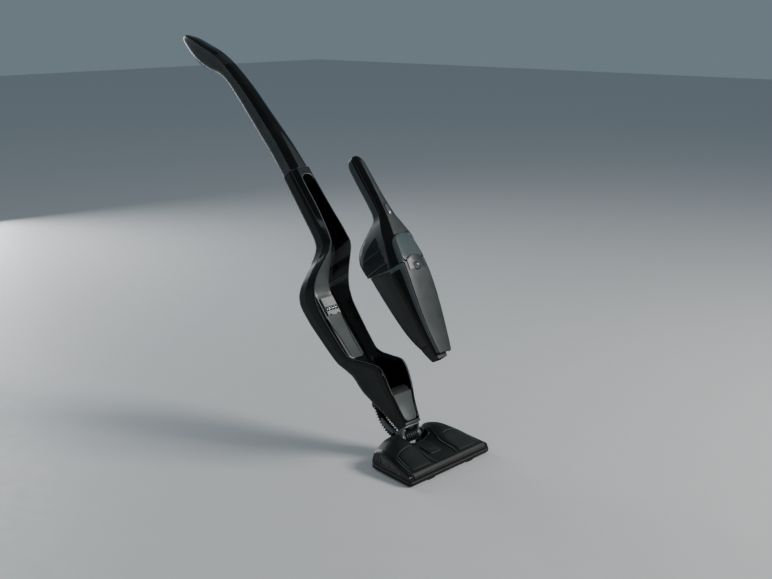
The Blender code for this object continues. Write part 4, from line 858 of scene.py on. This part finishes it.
def add_hand_front():
    """The gloss front body, full length, with openings for its two buttons."""
    rings = []
    for z in span(HAND_LOW, HAND_TOP, 4):
        wall = min(WALL, 0.25 * smooth(HAND_HALF, z))
        rings.append(level(shell_ring(hand_path(z), HAND_RADII, wall, 6), z))
    body = loft("hand_gloss_body", rings, HAND, "hand", "gloss", ["hand_front_shell"])
    holes = key_prism(*KEY_HALF, 6, KEY_Z, -95, -70)
    lathe(holes, [(-12, 0), (-12, WELL_R), (12, WELL_R), (12, 0)], (0, -78, RELEASE_Z), (0, 1, 0), 40)
    cut(body, holes, HAND)


def tilt(y):
    """How far the seam between rear shell and container rises towards the rear."""
    return 0.28 * max(0.0, y + 48)


def vent_runs():
    """The vent slots on the hand unit's flank: (depth, low, high) of each piece between the cross ribs."""
    ceiling = [(-70, 372), (-52, 369), (-41, 367), (-18, 359), (1, 346), (13, 332), (16, 318)]
    runs = []
    for k in range(-3, 13):
        at = -47.5 + SLOT_PITCH * k
        run = []
        for z in span(292, 372, 0.5):
            y = at + SLOT_LEAN * (z - 312)
            clear = min(abs(z - rib) for rib in RIB_HEIGHTS) > 0.9
            floor = 295.0 + tilt(y) * max(0.0, 1 - (z - 290.5) / 60)
            if -50.5 < y < 16 and clear and floor < z < smooth(ceiling, y):
                run.append(z)
            elif run:
                runs.append((at, run[0], run[-1]))
                run = []
        if run:
            runs.append((at, run[0], run[-1]))
    return [run for run in runs if run[2] - run[1] > 2]


def add_hand_rear():
    """The graphite rear body with sixteen slanted vent slots a side, two cross ribs and the strap slot."""
    rings = []
    for z in span(BELT_Z + 0.5, HAND_TOP, 3):
        half, seam = smooth(HAND_HALF, z), smooth(HAND_SEAM, z) + GAP
        rear = max(smooth(HAND_REAR, z), seam + 5)
        depth = smooth(HAND_REAR, z) - smooth(HAND_SEAM, z)
        radius = min(0.8 * half, 0.5 * depth + 6)
        ring = rear_ring(half, seam, rear, radius, min(WALL, 0.25 * half))
        share = max(0.0, 1 - (z - BELT_Z - 0.5) / 60)
        rings.append([(p[0], p[1], z + share * tilt(p[1])) for p in ring])
    shell = loft("hand_rear_body", rings, HAND, "hand", "graphite", ["hand_rear_shell"])
    slots = bmesh.new()
    lean = math.atan(SLOT_LEAN)
    for at, low, high in vent_runs():
        middle = (low + high) / 2
        half = (high - low) / 2 / math.cos(lean)
        place = Matrix.Translation((0, at + SLOT_LEAN * (middle - 312), middle)) @ Matrix.Rotation(-lean, 4,
                                                                                                   "X")
        box(slots, (-60, -1.75, -half), (60, 1.75, half), place)
    cut(shell, slots, HAND)
    strap = bmesh.new()
    box(strap, (-15, -12, -2.4), (15, 12, 2.4), Matrix.Translation((0, smooth(HAND_REAR, 389), 389)))
    cut(shell, strap, HAND)


def add_hand_inside():
    """A dark liner close behind the vents, so that the slots look into a shaded space."""
    rings = []
    for z in span(293, 374, 4):
        half, seam = smooth(HAND_HALF, z) - 2.6, smooth(HAND_SEAM, z) + 4
        rear = max(smooth(HAND_REAR, z) - 2.6, seam + 6)
        radius = min(0.8 * half, 0.5 * (rear - seam) + 4)
        share = max(0.0, 1 - (z - BELT_Z - 0.5) / 60)
        ring = rear_ring(half, seam, rear, radius, 0.8, 8)
        rings.append([(p[0], p[1], z + share * tilt(p[1])) for p in ring])
    loft("vent_liner", rings, HAND, "hand", "matte_black")


def face_plate(name, low, high, side_in, look, replaces, thick, rise=0.5, step=4, end_round=0.0, lean=0.8):
    """A plate laid on the hand unit's front face between two heights, with rounded ends and edges."""
    rings = []
    for z in span(low, high, step):
        pull = corner_pull(min(z - low, high - z), end_round)
        face = max(0.6, smooth(HAND_FACE, z) - side_in - pull)
        front = smooth(HAND_FRONT, z) - GAP
        top = [(face - lean, front - thick), (0, front - thick - rise), (lean - face, front - thick)]
        path = [(face, front), *rounded([(face, front), *top, (-face, front)], [0, 1.2, 30, 1.2, 0], 5)[1:-1],
                (-face, front)]
        rings.append(level(path, z))
    return loft(name, rings, HAND, "hand", look, replaces, "face")


def add_hand_plates():
    """The grey strip, teal window with its rim, lower cover, their pale side chamfers as painted highlight,
    and the two buttons' wells.
    """
    strip = face_plate("hand_front_strip", 354, 528, 0.4, "grey", ["hand_strip"], 1.4)
    cut(strip, key_prism(*KEY_HALF, 6, KEY_Z, -95, -70), HAND)
    face_plate("hand_teal_window", WINDOW_LOW, WINDOW_TOP, 1.2, "teal", ["hand_window"], 1.8, 0.9, 1.5,
               WINDOW_CORNER)
    cover = face_plate("hand_lower_cover", 106, 294.4, 0.6, "grey", ["hand_cover"], 1.4, 0.6, 4)
    cut(cover, slug(WELL_R, 20, (0, -80, RELEASE_Z), (0, 1, 0), 40), HAND)
    rims = [[(side * (smooth(HAND_FACE, z) - 0.7 - corner_pull(WINDOW_TOP - z, WINDOW_CORNER)),
              smooth(HAND_FRONT, z) - 1.3, z) for z in span(296, 352.6, 1.5)] for side in (-1, 1)]
    wire("window_rim_line", rims, 0.55, HAND, "hand", "pale", up=(0, 1, 0))
    # Pale strips on the lower cover's side chamfers, in the paler front-plate finish: painted highlight.
    edges = bmesh.new()
    for side in (-1, 1):
        rings = []
        for z in span(108, 293, 4):
            face, half = smooth(HAND_FACE, z), smooth(HAND_HALF, z)
            front = smooth(HAND_FRONT, z)
            drop = smooth(HAND_CORNER, z) / max(1.0, half - face)
            wide = max(1.2, 0.5 * (half - face))
            line = []
            for u in (0, 0.08, 0.25, 0.5, 0.75, 0.92, 1.0):
                bow = 0.5 + 0.9 * math.sin(math.pi * u) ** 0.5
                line.append((side * (face - 0.2 + wide * u + 0.7 * bow), front - 0.7 * bow + drop * wide * u))
            back = [(x - side * 1.6, y + 1.4) for x, y in line[::-1]]
            rings.append(level(line + back, z))
        skin(edges, rings, "face")
    put("cover_edge_chamfers", edges, HAND, "hand", "plate")
    # Pale strips on the window's side chamfers, in the paler front-plate finish: painted highlight.
    sides = bmesh.new()
    for side in (-1, 1):
        rings = []
        for z in span(296, 350, 3):
            face, half, front = smooth(HAND_FACE, z), smooth(HAND_HALF, z), smooth(HAND_FRONT, z)
            drop = smooth(HAND_CORNER, z) / max(1.0, half - face)
            pull = corner_pull(WINDOW_TOP - z, WINDOW_CORNER)
            wide = 6.2 - 0.25 * pull
            line = []
            for u in (0, 0.1, 0.5, 0.9, 1.0):
                bow = 0.6 + 0.6 * math.sin(math.pi * u) ** 0.5
                line.append((side * (face - 0.4 - 0.9 * pull + wide * u + 0.7 * bow),
                             front - 0.7 * bow + drop * wide * u - 0.3))
            back = [(x - side * 1.6, y + 1.6) for x, y in line[::-1]]
            rings.append(level(line + back, z))
        skin(sides, rings, "face")
    put("window_edge_chamfers", sides, HAND, "hand", "plate")
    add_belt_band()


def add_belt_band():
    """The teal band that wraps the seam between the rear body and the window, on both sides."""
    band = bmesh.new()
    for side in (-1, 1):
        rings = []
        for z in span(285.5, 294.0, 2):
            path = rounded(hand_path(z), HAND_RADII, 6)
            count = len(path) // 2 - 4
            near = path[:count]
            out = inset(near, -1.25)
            low = inset(near, -0.05)
            rings.append([(-side * p[0], p[1], z) for p in [*out, *low[::-1]]])
        skin(band, rings)
    put("seam_band", band, HAND, "hand", "teal")


def add_hand_buttons():
    """The oval power button with its bright tip and bezel, and the joint line above it."""
    y = smooth(HAND_FRONT, KEY_Z)
    rings = []
    for depth, shrink in ((5.0, 0.3), (-1.6, 0.3), (-2.4, 0.7), (-2.9, 1.6), (-3.0, 2.8)):
        outline = oval(KEY_HALF[0] - shrink, KEY_HALF[1] - shrink, 8)
        rings.append([(x, y + depth, KEY_Z + z) for x, z in outline])
    loft("power_key_cap", rings, HAND, "power_key", "silver", ["power_button"], "face", 50)
    lens = bmesh.new()
    outline = oval(2.4, 3.6, 8)
    layers = ((-0.3, 1.0), (0.35, 1.0), (0.6, 0.7))
    skin(lens, [[(x * s, y - 3.0 - d, KEY_Z - 5.5 + z * s) for x, z in outline] for d, s in layers], "face")
    put("power_key_lens", lens, HAND, "power_key", "bright")
    loop = [(x, y - 1.9, KEY_Z + z) for x, z in oval(KEY_HALF[0] + 0.6, KEY_HALF[1] + 0.6, 8)]
    wire("power_key_bezel", [loop + loop[:1]], 0.55, HAND, "hand", "matte_black", up=(0, 1, 0))
    joint = [(x, smooth(HAND_FRONT, 427) - 2.0, 427) for x in span(-9, 9, 2)]
    wire("strip_joint_line", [joint], 0.6, HAND, "hand", "matte_black")
    add_release()


def add_release():
    """The round release button, its arch-shaped recess and the dark lines round both."""
    y = smooth(HAND_FRONT, RELEASE_Z)
    cap = bmesh.new()
    profile = [(-6, 0), (-6, 7.4), (2.2, 7.4), (3.0, 7.0), (3.4, 6.0), (3.1, 5.2), (2.9, 3.0), (2.8, 0)]
    lathe(cap, profile, (0, y, RELEASE_Z), (0, -1, 0), 48)
    put("release_key_cap", cap, HAND, "release_key", "teal", ["release_button"])
    arch = bmesh.new()
    crown = [(22.5 * math.cos(a), 294 + 10.5 * math.sin(a) ** 0.8)
             for a in span(math.pi * 0.94, math.pi * 0.06, -0.2)]
    outline = [(-24, 276), (-22.5, 294), *crown, (22.5, 294), (24, 276)]
    rings = []
    for lift, shrink in ((1.0, 1.0), (2.9, 1.0), (3.3, 0.965)):
        rings.append([(x * shrink, smooth(HAND_FRONT, z) - lift, 284 + (z - 284) * shrink) for x,
                      z in outline])
    skin(arch, rings, "face")
    obj = put("release_arch", arch, HAND, "hand", "grey")
    cut(obj, slug(WELL_R, 20, (0, -80, RELEASE_Z), (0, 1, 0), 40), HAND)
    edge = [(x * 1.01, smooth(HAND_FRONT, z) - 2.5, z + 0.2) for x, z in outline]
    circle = [(WELL_R * math.cos(a), y - 3.0, RELEASE_Z + WELL_R * math.sin(a)) for a in turns(36)]
    wire("release_arch_line", [edge, circle + circle[:1]], 0.5, HAND, "hand", "matte_black", up=(0, 1, 0))


def bin_path(z):
    """The dust container's faceted outline at one height."""
    half, seam, rear = smooth(HAND_HALF, z), smooth(HAND_SEAM, z) + GAP, smooth(BIN_REAR, z)
    depth = rear - seam
    near = [(half, seam), (half - 0.4, seam + 0.3 * depth), (0.78 * half, rear - 0.18 * depth),
            (0.42 * half, rear)]
    far = [(-x, y) for x, y in near[::-1]]
    return [*near, *far]


def add_bin():
    """The smoked container with soft facets, its rim band and the nozzle with its lip line."""
    rings = []
    radii = [0, 12, 7, 6, 6, 7, 12, 0]
    for z in span(BIN_LOW, BELT_Z - GAP, 4):
        shrink = 1 - 0.05 * max(0.0, 1 - (z - BIN_LOW) / 5) ** 2
        outline = rounded(bin_path(z), radii, 6)
        share = max(0.0, 1 - (BELT_Z - GAP - z) / 80)
        rings.append([(p[0] * shrink, p[1], z + share * tilt(p[1])) for p in shell_from(outline)])
    loft("smoked_container", rings, HAND, "bin", "smoke", ["dust_container"])
    rim = [(p[0] * 1.004, p[1] + 0.1, 286.8 + 0.96 * tilt(p[1])) for p in rounded(bin_path(287), radii, 6)]
    wire("container_rim_line", [rim], 0.55, HAND, "bin", "olive")
    foot = bmesh.new()
    rings = [level(rounded(bin_path(z), radii, 6), z) for z in (BIN_LOW + 0.2, BIN_LOW + 2.0)]
    rings = [[(x * 0.93, y * 0.93 - 1.6, z) for x, y, z in ring] for ring in rings]
    skin(foot, rings, "face")
    put("container_floor", foot, HAND, "bin", "smoke")
    rings = []
    for z in span(98.6, BIN_LOW - GAP, 3):
        t = max(0.0, (z - 99) / 32)
        x = 15 + 6 * t ** 0.8
        y0, y1 = -31 + 0.4 * t, -9 + 8.5 * t ** 0.7
        path = [(-x, y0), (x, y0), (x * 0.85, y1), (-x * 0.85, y1), (-x, y0)]
        loop = rounded(path[:4], [4.5] * 4, 6)
        rings.append(loop_wall(loop, 2.0, z))
    hollow_loft("nozzle_tip", rings, HAND, "bin", "matte_black", ["inlet_nozzle"])
    outline = rounded([(-14.4, -30.4), (14.4, -30.4), (12.3, -9.6), (-12.3, -9.6)], [4] * 4, 6)
    lip = [(p[0], p[1], 99.2) for p in outline]
    wire("nozzle_lip_line", [lip + lip[:1]], 0.5, HAND, "bin", "grey")


def shell_from(outline, wall=2.0):
    """Turns an open outline into a wall's closed ring."""
    inner = inset(outline, wall)
    return [*outline, *inner[::-1]]


def loop_wall(loop, wall, z):
    """A closed outline and the same drawn in towards its middle, at one height."""
    middle = sum(loop) / len(loop)
    inner = []
    for p in loop:
        run = middle - p
        inner.append(p + run / np.linalg.norm(run) * wall)
    return level(loop, z), level(inner, z)


def hollow_loft(name, rings, space, body, look, replaces):
    """A tube-like wall through pairs of closed outlines, open at both ends."""
    bm = bmesh.new()
    outer = [[bm.verts.new(p) for p in pair[0]] for pair in rings]
    inner = [[bm.verts.new(p) for p in pair[1]] for pair in rings]
    rows = [*outer, *inner[::-1], outer[0]]
    count = len(rows[0])
    for low, high in zip(rows, rows[1:]):
        for i in range(count):
            j = (i + 1) % count
            bm.faces.new((low[i], low[j], high[j], high[i]))
    return put(name, bm, space, body, look, replaces)


# ---------------------------------------------------------------- floor head


def head_half(y):
    """Half the head's width at one depth."""
    return HALF_FRONT + (HALF_REAR - HALF_FRONT) * (y - HEAD_FRONT) / (HEAD_REAR - HEAD_FRONT)


def deck(s):
    """The head's top line at one station, from the front lip to the rear wall."""
    top = smooth(CREST, abs(s))
    return [(HEAD_FRONT + 3.5, SKIRT_TOP + GAP), (HEAD_FRONT + 6, LIP_Z - 3), (HEAD_FRONT + 12.5, LIP_Z),
            (-30, LIP_Z + 0.38 * (top - LIP_Z)), (2, LIP_Z + 0.86 * (top - LIP_Z)), (22, top),
            (HEAD_REAR - 9, top - 4), (HEAD_REAR - 2.5, 0.45 * top), (HEAD_REAR - 2, SKIRT_TOP + GAP)]


def deck_z(x, y):
    """The finished deck's height at one place."""
    s = x / (head_half(y) - 2.5)
    line = rounded(deck(s), DECK_RADII, 5)
    ys = np.maximum.accumulate([p[0] for p in line])
    return float(np.interp(y, ys, [p[1] for p in line]))


def spread(path, s):
    """Carries a (depth, height) path out to one station across the head."""
    return [(s * (head_half(y) - 2.5), y, z) for y, z in path]


def add_head_shell():
    """The upper shell with its neck pocket and pedal opening."""
    rings = [spread(shell_ring(deck(s), DECK_RADII, -WALL, 5), s) for s in span(-END_S, END_S, 0.028)]
    shell = loft("head_upper_shell", rings, HEAD, "head", "head", ["head_shell"], angle=28)
    pocket = bmesh.new()
    outline = rounded([(-38, 80), (-38, 17), (38, 17), (38, 80)], [0, 9, 9, 0], 6)
    skin(pocket, [level(outline, 9), level(outline, 90)], "face")
    cut(shell, pocket, HEAD)
    hole = bmesh.new()
    outline = rounded([(-19, -33.6), (19, -33.6), (19, -1.4), (-19, -1.4)], [6, 6, 3, 3], 5)
    skin(hole, [level(outline, 15), level(outline, 60)], "face")
    cut(shell, hole, HEAD)


def add_head_ends():
    """Gloss end caps, each with its framed two-pane window."""
    for side, tag in ((-1, "L"), (1, "R")):
        rings = []
        for s in (END_S + 0.0025, 0.945, 0.96, 0.975, 0.988, 1.0):
            path = deck(s)
            tuck = max(0.0, (s - 0.975) / 0.025)
            path = [(y * (1 - 0.015 * tuck), z - 1.5 * tuck * (z > 20)) for y, z in path]
            rings.append(spread(rounded(path, DECK_RADII, 6), side * s))
        cap = loft(f"gloss_end_{tag}", rings, HEAD, "head", "gloss_head", [f"end_cap_{tag}"], "face")
        frame_line = rounded([(-40, 17), (28, 17), (28, 34), (-8, 30)], [3, 3, 5, 8], 6)
        pane = bmesh.new()
        deep = [(side * (head_half(y) - 4.7), y, z) for y, z in frame_line]
        past = [(side * (head_half(y) + 4), y, z) for y, z in frame_line]
        skin(pane, [deep, past], "face")
        cut(cap, pane, HEAD)
        trim = bmesh.new()
        loop = [(side * (head_half(y) - 2.6), y, z) for y, z in frame_line]
        tube(trim, loop + loop[:1], 0.75, 8, up=(1, 0, 0))
        tube(trim, [(side * (head_half(y) - 3.0), y, z) for y, z in eased([(3, 17.2), (1, 24), (-1, 30.6)],
                                                                          8)],
             0.8, 8, up=(1, 0, 0))
        put(f"window_frame_{tag}", trim, HEAD, "head", "line")
        for look, low, high, word in (("side_green", 2.6, 27.2, "rear"), ("side_red", -36.6, 0.6, "front")):
            rings = []
            for y in span(low, high, 2.2):
                top = np.interp(y, [-37.5, -8, 27.5], [18.6, 28.9, 33.0])
                x = side * (head_half(y) - 3.4)
                rings.append([(x, y, 17.8), (x, y, top), (x - side, y, top), (x - side, y, 17.8)])
            obj = loft(f"side_pane_{word}_{tag}", rings, HEAD, "head", look, (), "face")
            if word == "rear":
                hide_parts(f"side_window_{tag}")


def strip(name, points, width, height, look, count=40, rise=0.0):
    """A half-round raised line laid on the deck through (x, y) points, mirrored to both sides."""
    bm = bmesh.new()
    for side in (-1, 1):
        path = [(side * x, y, deck_z(x, y) + rise) for x, y in eased(points, count)]
        tube(bm, path, lambda t: width * max(0.15, math.sin(math.pi * min(1, 0.04 + t)) ** 0.35), 10,
             height / width)
    return put(name, bm, HEAD, "head", look)


def add_head_deck():
    """Raised panels, valley ridges, slots, neck pocket rim, front lip and pedal."""
    for side, tag in ((-1, "L"), (1, "R")):
        rings = []
        for s in span(0.38, 0.83, 0.018):
            corner = min(s - 0.38, 0.83 - s) / 0.05
            pull = 7 * (1 - math.sqrt(max(0.0, 1 - (1 - min(1, corner)) ** 2)))
            end = -9 - 12 * max(0.0, s - 0.62) - pull
            start = -57 + 0.4 * pull
            ys = list(np.linspace(start, end, 22))
            low = [(side * s * (head_half(y) - 2.5), y, deck_z(s * (head_half(y) - 2.5), y) + 0.5)
                   for y in ys]
            top = []
            for i, (x, y, z) in enumerate(low):
                edge = min(i, len(low) - 1 - i, 2) / 2
                edge = min(edge, min(1.0, 0.35 + corner))
                top.append((x, y, z + 0.35 + 1.1 * edge ** 0.5))
            rings.append(low + top[::-1])
        loft(f"deck_plate_{tag}", rings, HEAD, "head", "deck", [f"deck_panel_{tag}"], "face")
    valley = [(52, 42), (47, 28), (42, 12), (38, -3), (36.5, -15), (38, -30), (39, -43), (36, -54), (31, -63)]
    strip("valley_ridges", valley, 2.6, 1.9, "head", 56, 0.2)
    # The pale lines here on the ridges, panel edges and plate edges and tops are painted highlights.
    strip("valley_ridge_lights", [(x - 1.4, y) for x, y in valley[1:]], 0.9, 0.7, "line", 56, 1.7)
    strip("ridge_slots", [(43.5, -8), (42.5, -17), (43.5, -27), (45, -36)], 1.7, 0.5, "matte_black", 20, 0.9)
    strip("outer_panel_lines", [(104.5, -14), (107, -28), (110, -46), (112, -60)], 0.9, 0.7, "line", 30, 0.3)
    strip("deck_plate_edges", [(99, -12), (102, -26), (104.5, -44), (106, -57)], 0.8, 0.6, "line", 30, 1.6)
    strip("deck_plate_tops", [(50, -8), (62, -7.6), (80, -8.5), (97, -11)], 0.8, 0.6, "line", 30, 1.6)
    outline = rounded([(-38.6, 46), (-38.6, 16.4), (38.6, 16.4), (38.6, 46)], [0, 9, 9, 0], 8)
    dense = []
    for a, b in zip(outline, outline[1:]):
        dense += [a + (b - a) * t for t in (0, 0.25, 0.5, 0.75)]
    path = [(p[0], p[1], deck_z(abs(p[0]), p[1]) + 0.3) for p in dense]
    wire("neck_pocket_rim", [path], 1.6, HEAD, "head", "head", 10, 0.9)
    add_lip_and_pedal()


def add_lip_and_pedal():
    """The front lip strip with its ends and the pedal plate with a finger line."""
    rings = []
    for s in span(-0.9, 0.9, 0.03):
        path = [(HEAD_FRONT + 2.6, SKIRT_TOP + 1), (HEAD_FRONT + 4.6, LIP_Z - 3.6),
                (HEAD_FRONT + 8, LIP_Z - 0.2)]
        out = [(y - 1.2, z + 0.7) for y, z in path]
        rings.append(spread(rounded(path, [0, 2, 0], 4) + rounded(out[::-1], [0.6, 2.5, 0.6], 4), s))
    loft("front_lip_strip", rings, HEAD, "head", "olive", ["front_lip"], "face")
    # A pale line along the lip's upper edge: painted highlight.
    line = [(s * (head_half(-68) - 3), HEAD_FRONT + 7.2, LIP_Z + 0.25) for s in span(-END_S, END_S, 0.06)]
    wire("front_lip_line", [line], 0.55, HEAD, "head", "line")
    rings = []
    outline = rounded([(-18, -29.4), (18, -29.4), (18, 0.9), (-18, 0.9)], [5, 5, 2, 2], 6)
    for shrink, height in ((1.0, -2.2), (1.0, 2.2), (0.985, 2.9), (0.955, 3.4), (0.92, 3.6)):
        rings.append([(p[0] * shrink, p[1] * shrink - 0.9 * (1 - shrink) - 3.4, 33 + 0.2 * p[1] + height)
                      for p in outline])
    loft("pedal_plate", rings, HEAD, "pedal", "olive", ["foot_pedal"], "face")
    grip = []
    for k in range(3):
        y = -16 - 4.2 * k
        grip.append([(x, y - 3.4, 36.7 + 0.2 * y + 0.1) for x in span(-11 + k, 11 - k, 1.5)])
    wire("pedal_grip_lines", grip, 0.7, HEAD, "pedal", "grey", 8, 0.8)


def head_outline(margin, corner=9.0, parts=8):
    """The head's rounded plan outline, drawn in by a margin."""
    front, rear = HEAD_FRONT + margin, HEAD_REAR - margin
    wide, narrow = head_half(front) - margin, head_half(rear) - margin
    points = [(-wide, front), (wide, front), (narrow, rear), (-narrow, rear)]
    return rounded(points, [corner] * 4, parts)


def add_skirt():
    """The soft bumper band with a rolled edge, a pale line and two small front tabs."""
    rings = []
    for z, margin in ((2.6, 2.0), (3.6, 0.9), (5, 0.5), (8, 0.4), (10.6, 0.6), (12.2, 1.3), (13, 2.6)):
        rings.append((level(head_outline(margin), z), level(head_outline(4.4 if z < 12.5 else 3.2, 7), z)))
    skirt = hollow_loft("bumper_band", rings, HEAD, "head", "rubber", ["bumper_skirt"])
    notch = bmesh.new()
    box(notch, (-15, 27, -5), (15, 67, 30))
    cut(skirt, notch, HEAD)
    loop = level(head_outline(0.75), 9.4)
    start = len(loop) // 2 + 9
    path = loop[start:] + loop[:start]
    last, gap = np.array(path[-1]), np.array(path[0]) - np.array(path[-1])
    end = [path[-1], *[tuple(last + gap * t) for t in (0.2, 0.42)]]
    wire("bumper_line", [path, end], 0.45, HEAD, "head", "line", 6)
    tabs = bmesh.new()
    for x in (-62, 62):
        box(tabs, (x - 9, HEAD_FRONT + 0.4, 1.2), (x + 9, HEAD_FRONT + 4, 3.4))
    soften(put("front_edge_tabs", tabs, HEAD, "head", "rubber"), 0.5)


def add_brush_tufts():
    """Nylon tufts in two helical rows round the brush core."""
    tufts = bmesh.new()
    steps = 72
    for start in (0.0, math.pi):
        for k in range(steps):
            x = -85 + 170 * k / (steps - 1)
            turn = start + 1.5 * math.pi * k / (steps - 1)
            for lean in (-0.16, 0.0, 0.16):
                a = turn + lean
                outward = Vector((0.12 * math.sin(7 * k + 3 * lean), math.cos(a), math.sin(a))).normalized()
                foot = Vector((x, -37, 10.6)) + outward * 5.4
                tip = Vector((x, -37, 10.6)) + outward * 9.9
                tube(tufts, [foot, tip], lambda t: 0.75 - 0.15 * t, 5, up=(1, 0, 0))
    put("brush_tufts", tufts, HEAD, "brush", "bristle", ["bristles"])


# ---------------------------------------------------------------- carried-over nodes and set


CARRIED = {
    "base_plate": ("matte_black", 0.4), "glide_pad": ("rubber", 0.5), "hinge_pin": ("steel", 0.4),
    "brush_chamber": ("matte_black", 0.2), "brush_motor": ("steel", 0.3), "drive_belt": ("rubber", 0.2),
    "rear_wheel_L": ("rubber", 0.3), "rear_wheel_R": ("rubber", 0.3), "brush_core": ("matte_black", 0.3),
    "motor_pulley": ("steel", 0.2), "neck_yoke": ("pale", 0.6),
    "contact_strip": ("bright", 0.1), "cup_floor": ("matte_black", 0.4), "inlet_seal": ("rubber", 0.4),
    "recess_arch": ("grey", 0.4), "swivel_foot": ("matte_black", 0.8), "fan_motor": ("steel", 0.5),
    "battery_pack": ("cells", 0.4), "control_board": ("board", 0.2), "filter_cone": ("filter", 0.4),
    "fan_rotor": ("bright", 0.2),
}


def finish_carried():
    """Gives each shown CAD node its finish, welded smooth shading and small rounded edges."""
    for node, (look, width) in CARRIED.items():
        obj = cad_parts[node]
        material, slot = LOOKS[look]
        obj.data.materials.clear()
        obj.data.materials.append(material)
        obj.data.shade_smooth()
        weld = obj.modifiers.new("weld", "WELD")
        weld.merge_threshold = 0.00001
        soften(obj, width, 2, 38)


def add_light(name, kind, place, target, energy, size, colour=(1, 1, 1)):
    """One soft studio light aimed at a point."""
    data = bpy.data.lights.new(name, kind)
    data.energy = energy
    data.color = colour
    if kind == "AREA":
        data.shape = "RECTANGLE"
        data.size, data.size_y = size
    obj = bpy.data.objects.new(name, data)
    obj.location = place
    obj.rotation_euler = (Vector(target) - Vector(place)).to_track_quat("-Z", "Y").to_euler()
    bpy.context.scene.collection.objects.link(obj)


def make_set():
    """A plain pale floor, soft studio light and the camera."""
    bm = bmesh.new()
    bmesh.ops.create_grid(bm, x_segments=1, y_segments=1, size=12)
    mesh = bpy.data.meshes.new("floor")
    bm.to_mesh(mesh)
    bm.free()
    floor = bpy.data.objects.new("floor", mesh)
    bpy.context.scene.collection.objects.link(floor)
    mesh.materials.append(plastic("floor_paint", (0.66, 0.655, 0.65), 0.55, 0.02, 200, 0.01, wear=0.0))
    world = bpy.data.worlds.new("studio")
    world.use_nodes = True
    world.node_tree.nodes["Background"].inputs["Color"].default_value = (0.36, 0.46, 0.54, 1)
    world.node_tree.nodes["Background"].inputs["Strength"].default_value = 0.42
    bpy.context.scene.world = world
    middle = (0, 0.25, 0.45)
    add_light("key", "AREA", (1.35, -2.25, 2.1), middle, 88, (1.0, 1.0), (1, 0.985, 0.96))
    add_light("back_window", "AREA", (0.3, 3.0, 0.95), middle, 42, (1.3, 1.8), (0.95, 0.98, 1))
    add_light("left_window", "AREA", (-2.7, 0.9, 1.5), middle, 5, (0.4, 2.2), (0.95, 0.98, 1))


CAMERA = {"azimuth": -48.9, "distance": 2.31, "height": 0.92, "aim": (-0.05, 0.06), "down": 13.6,
          "lens": 55.96}


def make_camera():
    """The camera at the photograph's viewing angle."""
    turn = math.radians(CAMERA["azimuth"])
    data = bpy.data.cameras.new("camera")
    data.lens = CAMERA["lens"]
    data.sensor_width = 36
    data.clip_start = 0.05
    camera = bpy.data.objects.new("camera", data)
    aim_x, aim_y = CAMERA["aim"]
    away = CAMERA["distance"]
    camera.location = (aim_x + math.sin(turn) * away, aim_y - math.cos(turn) * away, CAMERA["height"])
    camera.rotation_euler = (math.radians(90 - CAMERA["down"]), 0, turn)
    bpy.context.scene.collection.objects.link(camera)
    bpy.context.scene.camera = camera


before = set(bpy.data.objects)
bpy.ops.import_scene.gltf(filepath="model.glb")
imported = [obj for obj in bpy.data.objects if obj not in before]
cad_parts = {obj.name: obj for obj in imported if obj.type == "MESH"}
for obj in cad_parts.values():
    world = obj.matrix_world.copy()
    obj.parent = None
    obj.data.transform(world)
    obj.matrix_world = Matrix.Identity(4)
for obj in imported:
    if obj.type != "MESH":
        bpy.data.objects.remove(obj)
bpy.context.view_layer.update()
for startup in ("Cube", "Light", "Camera"):
    if startup in bpy.data.objects:
        bpy.data.objects.remove(bpy.data.objects[startup], do_unlink=True)
LOOKS = make_looks()
make_camera()
make_set()
add_stick_front()
add_rear_covers()
add_latch()
add_liner()
add_recess_top()
add_flare_bands()
add_contact_block()
add_cup()
add_neck()
add_shaft()
add_hand_front()
add_hand_rear()
add_hand_inside()
add_hand_plates()
add_hand_buttons()
add_bin()
add_head_shell()
add_head_ends()
add_head_deck()
add_skirt()
add_brush_tufts()
finish_carried()
